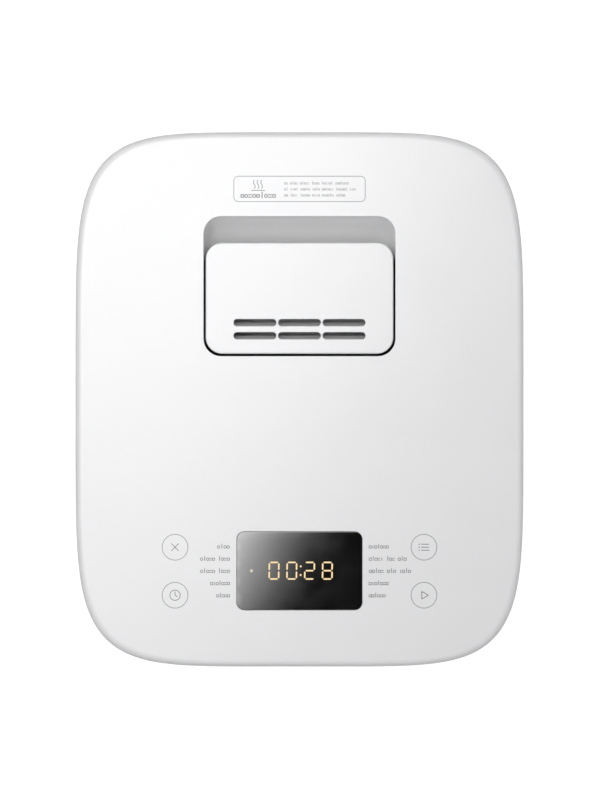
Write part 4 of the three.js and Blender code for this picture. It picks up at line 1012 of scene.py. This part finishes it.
def refined(node, finish, body, soft=0.4 * MM, steps=2, sharp=28.0):
    """A copy of a CAD node with its flats joined and its hard edges rounded, in its place."""
    skin = bmesh.new()
    skin.from_mesh(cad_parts[node].data)
    bmesh.ops.remove_doubles(skin, verts=skin.verts, dist=2e-6)
    bmesh.ops.dissolve_limit(skin, angle_limit=math.radians(0.5), verts=skin.verts, edges=skin.edges)
    hard = [e for e in skin.edges if len(e.link_faces) == 2 and e.calc_face_angle(0) > math.radians(sharp)]
    bmesh.ops.bevel(
        skin, geom=hard, offset=soft, segments=steps, profile=0.5, affect="EDGES", clamp_overlap=True
    )
    return fitted(skin, "soft_" + node, finish, body, node)


refined("hinge_block", gloss_white, "lid", 0.5 * MM, 3)

plated = Finish("plated_steel", "steel", metallic=1.0)
plated.grained((250.0, 4.0), (0.55, 0.55, 0.56), (0.70, 0.69, 0.67), gloss=(0.3, 0.7, 0.22, 0.38))

galvanised = Finish("galvanised_sheet", "galvanised", metallic=1.0)
cell_sockets = {"Vector": galvanised.place(), "Scale": 260.0}
spangle = galvanised.split(galvanised.node("ShaderNodeTexVoronoi", None, cell_sockets, output=1))[0]
galvanised.put("Base Color", galvanised.mix(spangle, (0.42, 0.43, 0.45), (0.66, 0.67, 0.68)))
galvanised.put("Roughness", galvanised.range(spangle, 0.0, 1.0, 0.3, 0.5))

shaft = Room("hinge_shaft")
TIP = 0.6 * MM
AXLE_POINTS = 32
axle = Skin()
tips = [(shaft.low.x, 0.6), (shaft.low.x + TIP, 1.0), (shaft.high.x - TIP, 1.0), (shaft.high.x, 0.6)]
axle_rings = []
for x, share in tips:
    section = round_plan(shaft.size[2] / 2 * share, count=AXLE_POINTS)
    axle_rings.append([(x, shaft.y + u, shaft.z + v) for u, v in section])
axle.close(axle.loft(axle_rings))
axle.close(range(AXLE_POINTS))
axle.piece("hinge_axle", plated, "body", "hinge_shaft")
for side in ("left", "right"):
    refined("hinge_bracket_" + side, galvanised, "body", 0.3 * MM, sharp=45)


# ---- Power inlet ----
# A black moulded appliance inlet with three blades, its flange lying on the back wall.

grained_black = Finish("grained_black_plastic", "black_plastic", roughness=0.5)
grained_black.grained((1800.0, 2.0), (0.014, 0.014, 0.015), (0.032, 0.032, 0.034), (0.00005, 0.6))
refined("power_inlet", grained_black, "body", 0.35 * MM)


# ---- Base plate, feet and screws ----
# A flat satin cover closes the body from below, with five cooling vents under the electronics. Four
# rubber feet carry the weight, and four pan-head screws with crossed recesses hold the plate.

satin_white = Finish("satin_white_plastic", "satin_white", roughness=0.42)
satin_white.grained((1200.0, 2.0), (0.73, 0.73, 0.735), (0.79, 0.79, 0.795), (0.00003, 0.5))

base = Room("base_plate")
PLATE_INSET = HALF_WIDTH - base.high.x
PLATE_THICK = 3 * MM
vents = [pad((6 * MM, 34 * MM), 2.98 * MM, (x * MM, -40 * MM), 6) for x in (-40, -20, 0, 20, 40)]
plate = Skin()
down = rising(base.low.z)
lower_loops = [plan(PLATE_INSET + 0.8 * MM), *[vent(0.5 * MM) for vent in vents]]
lower_rim, *lower = plate.cover(lower_loops, down, 12 * MM)
upper_loops = [plan(PLATE_INSET), *[vent(0) for vent in vents]]
upper_rim, *upper = plate.cover(upper_loops, level(base.low.z + PLATE_THICK), 18 * MM)
edge_steps = [(0.25 * MM, 0.25 * MM), (0, 0.8 * MM)]
edge_rings = [raised(plan(PLATE_INSET + inset), base.low.z + rise) for inset, rise in edge_steps]
plate.sew(plate.loft(edge_rings, lower_rim), upper_rim)
for ids, above, vent in zip(lower, upper, vents):
    plate.bore(ids, above, vent, down, 0.5 * MM)
plate.piece("bottom_plate", satin_white, "body", "base_plate")

rubber = Finish("grey_rubber", "rubber", roughness=0.75)
rubber.grained((500.0, 5.0), (0.035, 0.035, 0.036), (0.075, 0.075, 0.074), (0.00006, 0.7))
CORNERS = ("front_left", "front_right", "rear_left", "rear_right")
sole = [(0, 0.5), (4.6, 0.5), (5.0, 0.1), (5.3, 0), (8.2, 0), (8.8, 0.25), (9, 0.8), (9, 3.3), (8.7, 3.8)]
sole += [(8.2, 4), (4.2, 4), (4.2, 9.6), (3.9, 10), (0, 10)]
for place in CORNERS:
    foot = Room("foot_" + place)
    profile = [(radius * MM, foot.low.z + height * MM) for radius, height in sole]
    turned("pad_" + place, profile, rubber, "body", "foot_" + place, foot.x, foot.y, 64)

HEAD_RADIUS = 3.4 * MM
HEAD_ROUND = 0.9 * MM
THREAD_PITCH = 1.1 * MM


def screw(name, node, body, head_height):
    """A pan-head screw, head down, with a crossed recess and a threaded shank."""
    room = Room(node)
    low, high = room.low.z, room.high.z
    far, near = HEAD_RADIUS * 0.62, HEAD_RADIUS * 0.17
    arm, cross, recess = [(far, -near), (far, near), (near, near)], [], []
    for _ in range(4):
        cross += [(room.x + u, room.y + v) for u, v in arm]
        recess += [(room.x + 0.7 * u, room.y + 0.7 * v, low + 1.2 * MM) for u, v in arm]
        arm = [(-v, u) for u, v in arm]

    def section(radius):
        return round_plan(radius, room.x, room.y, 40)

    skin = Skin()
    rim_ids, cross_ids = skin.cover([section(HEAD_RADIUS - HEAD_ROUND), cross], rising(low), 20 * MM)
    skin.close(skin.loft([recess], cross_ids))
    side = roll(lambda grow: section(HEAD_RADIUS + grow), rising(low), HEAD_ROUND, outward=True)
    side.append(raised(section(HEAD_RADIUS), low + head_height))
    for turn in range(max(int((high - low - head_height) / THREAD_PITCH), 1)):
        z = low + head_height + (turn + 0.3) * THREAD_PITCH
        side += [raised(section(1.45 * MM), z), raised(section(1.85 * MM), z + 0.45 * MM)]
    side += [raised(section(1.45 * MM), high - 0.6 * MM), raised(section(0.6 * MM), high)]
    skin.close(skin.loft(side, rim_ids))
    skin.piece(name, plated, body, node)


for place in CORNERS:
    screw("plate_screw_" + place, "base_screw_" + place, "body", 2 * MM)
    screw("frame_screw_" + place, "lid_screw_" + place, "lid", 1.7 * MM)


# ---- Top frame ----
# The satin collar round the pot's mouth, seen when the lid is open: a flat deck, a ring that carries
# the pot's flange, a raised lip round it, and a channel at the front for the latch.

pot = Room("inner_pot")
POT_Y = pot.y
collar_top = Room("top_frame").high.z
DECK_TOP = collar_top - 4.3 * MM
DECK_BOTTOM = DECK_TOP - 3 * MM
HINGE_SLOT_Y = 143 * MM
lever = Room("latch_lever").low
CHANNEL = (18.8 * MM, 20.7 * MM)
channel_edge = pad(CHANNEL, 1 * MM, (0, lever.y + CHANNEL[1] / 2 + 0.4 * MM), 4)


def deck_outline(inset):
    """The deck's edge, with a slot at the rear that the hinge block turns in."""
    points = []
    side_x, slot_y = NOTCH_HALF + inset, HINGE_SLOT_Y - inset
    for x, y in plan(3.1 * MM + inset):
        if abs(x) < side_x and y > 0:
            continue
        if y > 0 > x and points[-1][0] > 0:
            rear_y = points[-1][1]
            middle_y = (rear_y + slot_y) / 2
            points += [(side_x, rear_y), (side_x, middle_y)]
            points += [(side_x * (1 - i / 10), slot_y) for i in range(21)]
            points += [(-side_x, middle_y), (-side_x, rear_y)]
        points.append((x, y))
    return points


def mouth(radius):
    """A circle round the pot's axis."""
    return round_plan(radius, 0, POT_Y, 128)


deck = Skin()
deck_loops = [deck_outline(0.6 * MM), mouth(115 * MM), channel_edge(0.5 * MM)]
deck_top = deck.cover(deck_loops, level(DECK_TOP), 9 * MM)
under_loops = [deck_outline(0), mouth(108 * MM), channel_edge(2.6 * MM)]
deck_under = deck.cover(under_loops, level(DECK_BOTTOM), 14 * MM)
deck_steps = [(0.18 * MM, 0.18 * MM), (0, 0.6 * MM)]
deck_edge = [raised(deck_outline(inset), DECK_TOP - drop) for inset, drop in deck_steps]
deck.sew(deck.loft(deck_edge, deck_top[0]), deck_under[0])
lip = [(116.6, 4.1), (116.9, 3.6), (116.9, 1.6), (116.4, 0.5), (115.4, 0), (113.4, 0), (112.6, 0.4)]
lip += [(112.2, 1.2), (112.1, 1.7), (107.3, 1.9), (106.8, 2.1), (106.5, 2.6), (106.5, 7.0), (106.9, 7.3)]
lip_rings = [raised(mouth(radius * MM), collar_top - drop * MM) for radius, drop in lip]
deck.sew(deck.loft(lip_rings, deck_top[1]), deck_under[1])
channel_rings = roll(channel_edge, level(DECK_TOP), 0.5 * MM)
channel_rings += [raised(channel_edge(grow * MM), lever.z - 1 * MM) for grow in (0, 2.6)]
deck.sew(deck.loft(channel_rings, deck_top[2]), deck_under[2])
deck.piece("deck_collar", satin_white, "body", "top_frame")
refined("latch_lever", grey_plastic, "latch", 0.5 * MM, 3)


# ---- Inner pot ----
# A pressed aluminium pot with a speckled dark non-stick coating and a rolled flange. Short light
# level marks run up the inside in two columns.

coating = Finish("non_stick_coating", "pot_coating")
dots = coating.range(coating.noise(1100.0, 1.0), 0.66, 0.74)
coating.put("Base Color", coating.mix(dots, (0.028, 0.028, 0.030), (0.22, 0.22, 0.23)))
coating.put("Roughness", coating.range(dots, 0.0, 1.0, 0.36, 0.55))
coating.bump(coating.noise(700.0, 3.0), 0.00003, 0.5)

POT_RADIUS = 104 * MM
POT_WALL = 2 * MM
POT_BEND = 38 * MM
POT_FLOOR = pot.low.z + 2.5 * MM
BEND_STEPS = 20
bend_x, bend_z = POT_RADIUS - POT_WALL - POT_BEND, POT_FLOOR + POT_BEND
quarter = [math.pi / 2 * step / BEND_STEPS for step in range(BEND_STEPS + 1)]
pot_profile = [(0.0, POT_FLOOR)]
pot_profile += [(bend_x + POT_BEND * math.sin(turn), bend_z - POT_BEND * math.cos(turn)) for turn in quarter]
rim_drops = [(102, 30), (102, 2.6), (102.2, 1.5), (102.8, 0.6), (103.8, 0.1), (104.6, 0), (109.4, 0)]
for turn in map(math.radians, (30, 90, 150)):
    rim_drops.append((109.4 + math.sin(turn), 1 - math.cos(turn)))
rim_drops += [(109.4, 2), (105.2, 2), (104.3, 2.3), (104, 3.2), (104, 30)]
pot_profile += [(radius * MM, pot.high.z - drop * MM) for radius, drop in rim_drops]
outer_bend = POT_BEND + POT_WALL
for turn in quarter[::-1]:
    pot_profile.append((bend_x + outer_bend * math.sin(turn), pot.low.z + outer_bend * (1 - math.cos(turn))))
pot_profile.append((0.0, pot.low.z))
turned("cooking_pot", pot_profile, coating, "pot", "inner_pot", 0, POT_Y, 192)

MARK_RUNS = 6
marks = Skin()
for side in (0, math.pi):
    for count in range(13):
        z = bend_z + (6 + 5.6 * count) * MM
        wide = 0.075 if count % 2 == 0 else 0.04
        around = [side + math.pi / 2 - wide + 2 * wide * i / MARK_RUNS for i in range(MARK_RUNS + 1)]
        sheets = []
        for radius in (POT_RADIUS - POT_WALL + 0.3 * MM, POT_RADIUS - POT_WALL - 0.06 * MM):
            row = [(radius * math.cos(turn), POT_Y + radius * math.sin(turn)) for turn in around]
            sheets.append(marks.ring(raised(row, z + 0.3 * MM) + raised(row[::-1], z - 0.3 * MM)))
        marks.sew(*sheets)
        for ids in sheets:
            for i in range(MARK_RUNS):
                marks.close((ids[i], ids[i + 1], ids[-2 - i], ids[-1 - i]))
level_print = Finish("pot_level_print", roughness=0.5)
level_print.grained((900.0, 3.0), (0.48, 0.48, 0.46), (0.66, 0.66, 0.64))
marks.piece("pot_level_marks", level_print, "pot")


# ---- Lid underside ----
# A satin frame closes the lid from below and holds a round pan. In the pan sits the spun aluminium
# inner lid in its silicone gasket, held by a sliding clip at the front. A steel catch takes the hook.

liner_box = Room("lid_frame")
LINER_LOW, LINER_HIGH = liner_box.low.z, liner_box.high.z
PAN_RADIUS = 111.5 * MM
PAN_FLOOR = LINER_HIGH - 2.5 * MM
sensor = Room("lid_sensor")
underneath = rising(LINER_LOW)
hook_slot = pad((18.8 * MM, 18 * MM), 1.5 * MM, (0, lever.y + 8 * MM), 4)
clip_slot = pad((15 * MM, 11.5 * MM), 1 * MM, (0, Room("inner_lid_clip").low.y + 4.2 * MM), 4)

liner = Skin()
under_loops = [plan(4.0 * MM), mouth(PAN_RADIUS + 0.8 * MM), hook_slot(0.4 * MM), clip_slot(0.4 * MM)]
over_loops = [plan(3.1 * MM), mouth(PAN_RADIUS + 2 * MM), hook_slot(0), clip_slot(0)]
lid_under = liner.cover(under_loops, underneath, 12 * MM)
lid_over = liner.cover(over_loops, level(LINER_LOW + 2.5 * MM), 16 * MM)
border = [raised(plan((3.1 + grow) * MM), LINER_LOW + rise * MM) for grow, rise in [(0.27, 0.27), (0, 0.9)]]
liner.sew(liner.loft(border, lid_under[0]), lid_over[0])
for place, slot in [(2, hook_slot), (3, clip_slot)]:
    liner.bore(lid_under[place], lid_over[place], slot, underneath, 0.4 * MM)
pan_inside = [(0.23, LINER_LOW + 0.23 * MM), (0, LINER_LOW + 0.8 * MM)]
pan_inside += [(0, PAN_FLOOR - 2 * MM), (-0.6, PAN_FLOOR - 0.6 * MM)]
pan_last = liner.loft([raised(mouth(PAN_RADIUS + grow * MM), z) for grow, z in pan_inside], lid_under[1])
holes = [round_plan(9.6 * MM, 0, VALVE_Y, 48), round_plan(5.4 * MM, sensor.x, sensor.y, 48)]
pan_under = liner.cover([mouth(PAN_RADIUS - 2 * MM), *holes], level(PAN_FLOOR), 24 * MM)
pan_over = liner.cover([mouth(PAN_RADIUS), *holes], level(LINER_HIGH), 24 * MM)
liner.sew(pan_last, pan_under[0])
shoulder = raised(mouth(PAN_RADIUS + 2 * MM), LINER_HIGH - 2 * MM)
liner.sew(liner.loft([shoulder], lid_over[1]), pan_over[0])
for ids, above in zip(pan_under[1:], pan_over[1:]):
    liner.sew(ids, above)
liner.piece("underside_frame", satin_white, "lid", "lid_frame")

spun = Finish("spun_aluminium", "aluminium", metallic=1.0)
mapping = {0: spun.place(), "Location": (0.0, -POT_Y, 0.0), "Scale": (1, 1, 0)}
centred = spun.node("ShaderNodeMapping", None, mapping)
turning = {"Vector": centred, "Scale": 420.0, "Distortion": 1.5, "Detail": 2.0}
tool_marks = spun.node("ShaderNodeTexWave", {"wave_type": "RINGS", "rings_direction": "SPHERICAL"}, turning)
spun.put("Base Color", spun.mix(tool_marks, (0.60, 0.60, 0.61), (0.74, 0.74, 0.74)))
spun.put("Roughness", spun.range(tool_marks, 0.0, 1.0, 0.26, 0.4))
spun.bump(tool_marks, 0.00002, 0.35)

inner_box = Room("inner_lid")
INNER_LOW = inner_box.low.z
SHEET = 1.2 * MM
DOME = 5.3 * MM


def pressed(x, y, depth=0.0):
    """The lower face of the pressed inner lid: a raised flat middle with two beads."""
    radius = math.hypot(x, y - POT_Y)
    share = min(max((97 * MM - radius) / (33 * MM), 0.0), 1.0)
    rise = DOME * (3 * share**2 - 2 * share**3)
    for bead in (34 * MM, 52 * MM):
        rise -= 0.7 * MM * math.exp(-(((radius - bead) / (1.6 * MM)) ** 2))
    return (x, y, INNER_LOW + rise + depth)


inner = Skin()
sheet_loops = [mouth(105.2 * MM), round_plan(7 * MM, 0, VALVE_Y, 40)]
for side in (-20, 20):
    sheet_loops += [round_plan(1.5 * MM, side * MM, VALVE_Y + along * MM, 16) for along in (-5, 5)]
lower_sheet = inner.cover(sheet_loops, pressed, 2.4 * MM)
upper_sheet = inner.cover(sheet_loops, lambda x, y: pressed(x, y, SHEET), 2.4 * MM)
rim_rings = [[pressed(x, y, rise * MM) for x, y in mouth(105.9 * MM)] for rise in (0.4, 0.8)]
inner.sew(inner.loft(rim_rings, lower_sheet[0]), upper_sheet[0])
for ids, above in zip(lower_sheet[1:], upper_sheet[1:]):
    inner.sew(ids, above)
tab = pad((12 * MM, 9 * MM), 2 * MM, (0, inner_box.high.y - 4.5 * MM), 4)()
low_tab, high_tab = inner.ring(raised(tab, INNER_LOW)), inner.ring(raised(tab, INNER_LOW + SHEET))
inner.sew(low_tab, high_tab)
inner.close(low_tab)
inner.close(high_tab)
inner.piece("pressed_inner_lid", spun, "lid", "inner_lid", 50)

gasket_low = Room("inner_lid_gasket").low.z
lips = [(103, 0, 0.9), (109.2, 0, 0.8), (110.2, 1.5, 0.6), (110.2, 5.1, 1.0), (103, 5.1, 0.6)]
lips += [(103, 3.8, 0.3), (106.2, 3.8, 0.2), (106.2, 2.0, 0.2), (103, 2.0, 0.6)]
section = softened([(radius * MM, gasket_low + z * MM, soft * MM) for radius, z, soft in lips], 4)
turned("rim_gasket", section, silicone, "lid", "inner_lid_gasket", 0, POT_Y, 160)
refined("inner_lid_clip", grey_plastic, "clip")
refined("lid_catch", plated, "lid", 0.3 * MM)
refined("lid_sensor", spun, "lid", 0.3 * MM, sharp=45)


# ---- Works inside ----
# Parts that the housing, the pot and the frames hide: they keep their engineering shapes, and each
# gets the finish of its real material. The two springs behind moving parts get rounded copies with
# meshes of their own.

for place, axis in [("button", (0, 1, 0)), ("sensor", (0, 0, 1))]:
    node, joint = place + "_spring", place + "_press"
    room = Room(node)
    free_length = Vector(room.size).dot(Vector(axis))
    spring = refined(node, plated, "body", 0.05 * MM, 1, 80)
    fixed_end = room.high if place == "button" else room.low
    tuple(fixed_end)
    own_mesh(spring)

cast = Finish("cast_aluminium", metallic=1.0, roughness=0.5)
cast.grained((600.0, 5.0, 0.6), (0.42, 0.42, 0.43), (0.58, 0.58, 0.58), (0.00008, 0.6))
sheath = Finish("cable_sheath", roughness=0.55)
sheath.grained((900.0, 2.0), (0.42, 0.42, 0.42), (0.50, 0.50, 0.49))
laminate = Finish("circuit_laminate", roughness=0.4)
tracks = {
    "Vector": laminate.place(), "Scale": 120.0, "Color1": (0.015, 0.10, 0.035),
    "Color2": (0.02, 0.13, 0.045), "Mortar": (0.05, 0.20, 0.07), "Mortar Size": 0.03,
}
laminate.put("Base Color", laminate.node("ShaderNodeTexBrick", None, tracks))


def finished(finish, *nodes):
    for node in nodes:
        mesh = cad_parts[node].data
        mesh.materials.clear()
        mesh.materials.append(finish.material)


finished(galvanised, "heater_liner", "transformer")
finished(cast, "heating_plate", "sensor_cap")
finished(grey_plastic, "side_heater_band", "sensor_housing")
finished(plated, "hinge_spring_left", "hinge_spring_right", "latch_pin")
finished(plated, *[f"touch_spring_{side}_{row}" for side in ("left", "right") for row in ("front", "rear")])
finished(laminate, "power_board", "display_board")
finished(grained_black, "relay", "capacitor", "digit_module")
finished(sheath, "inlet_lead")
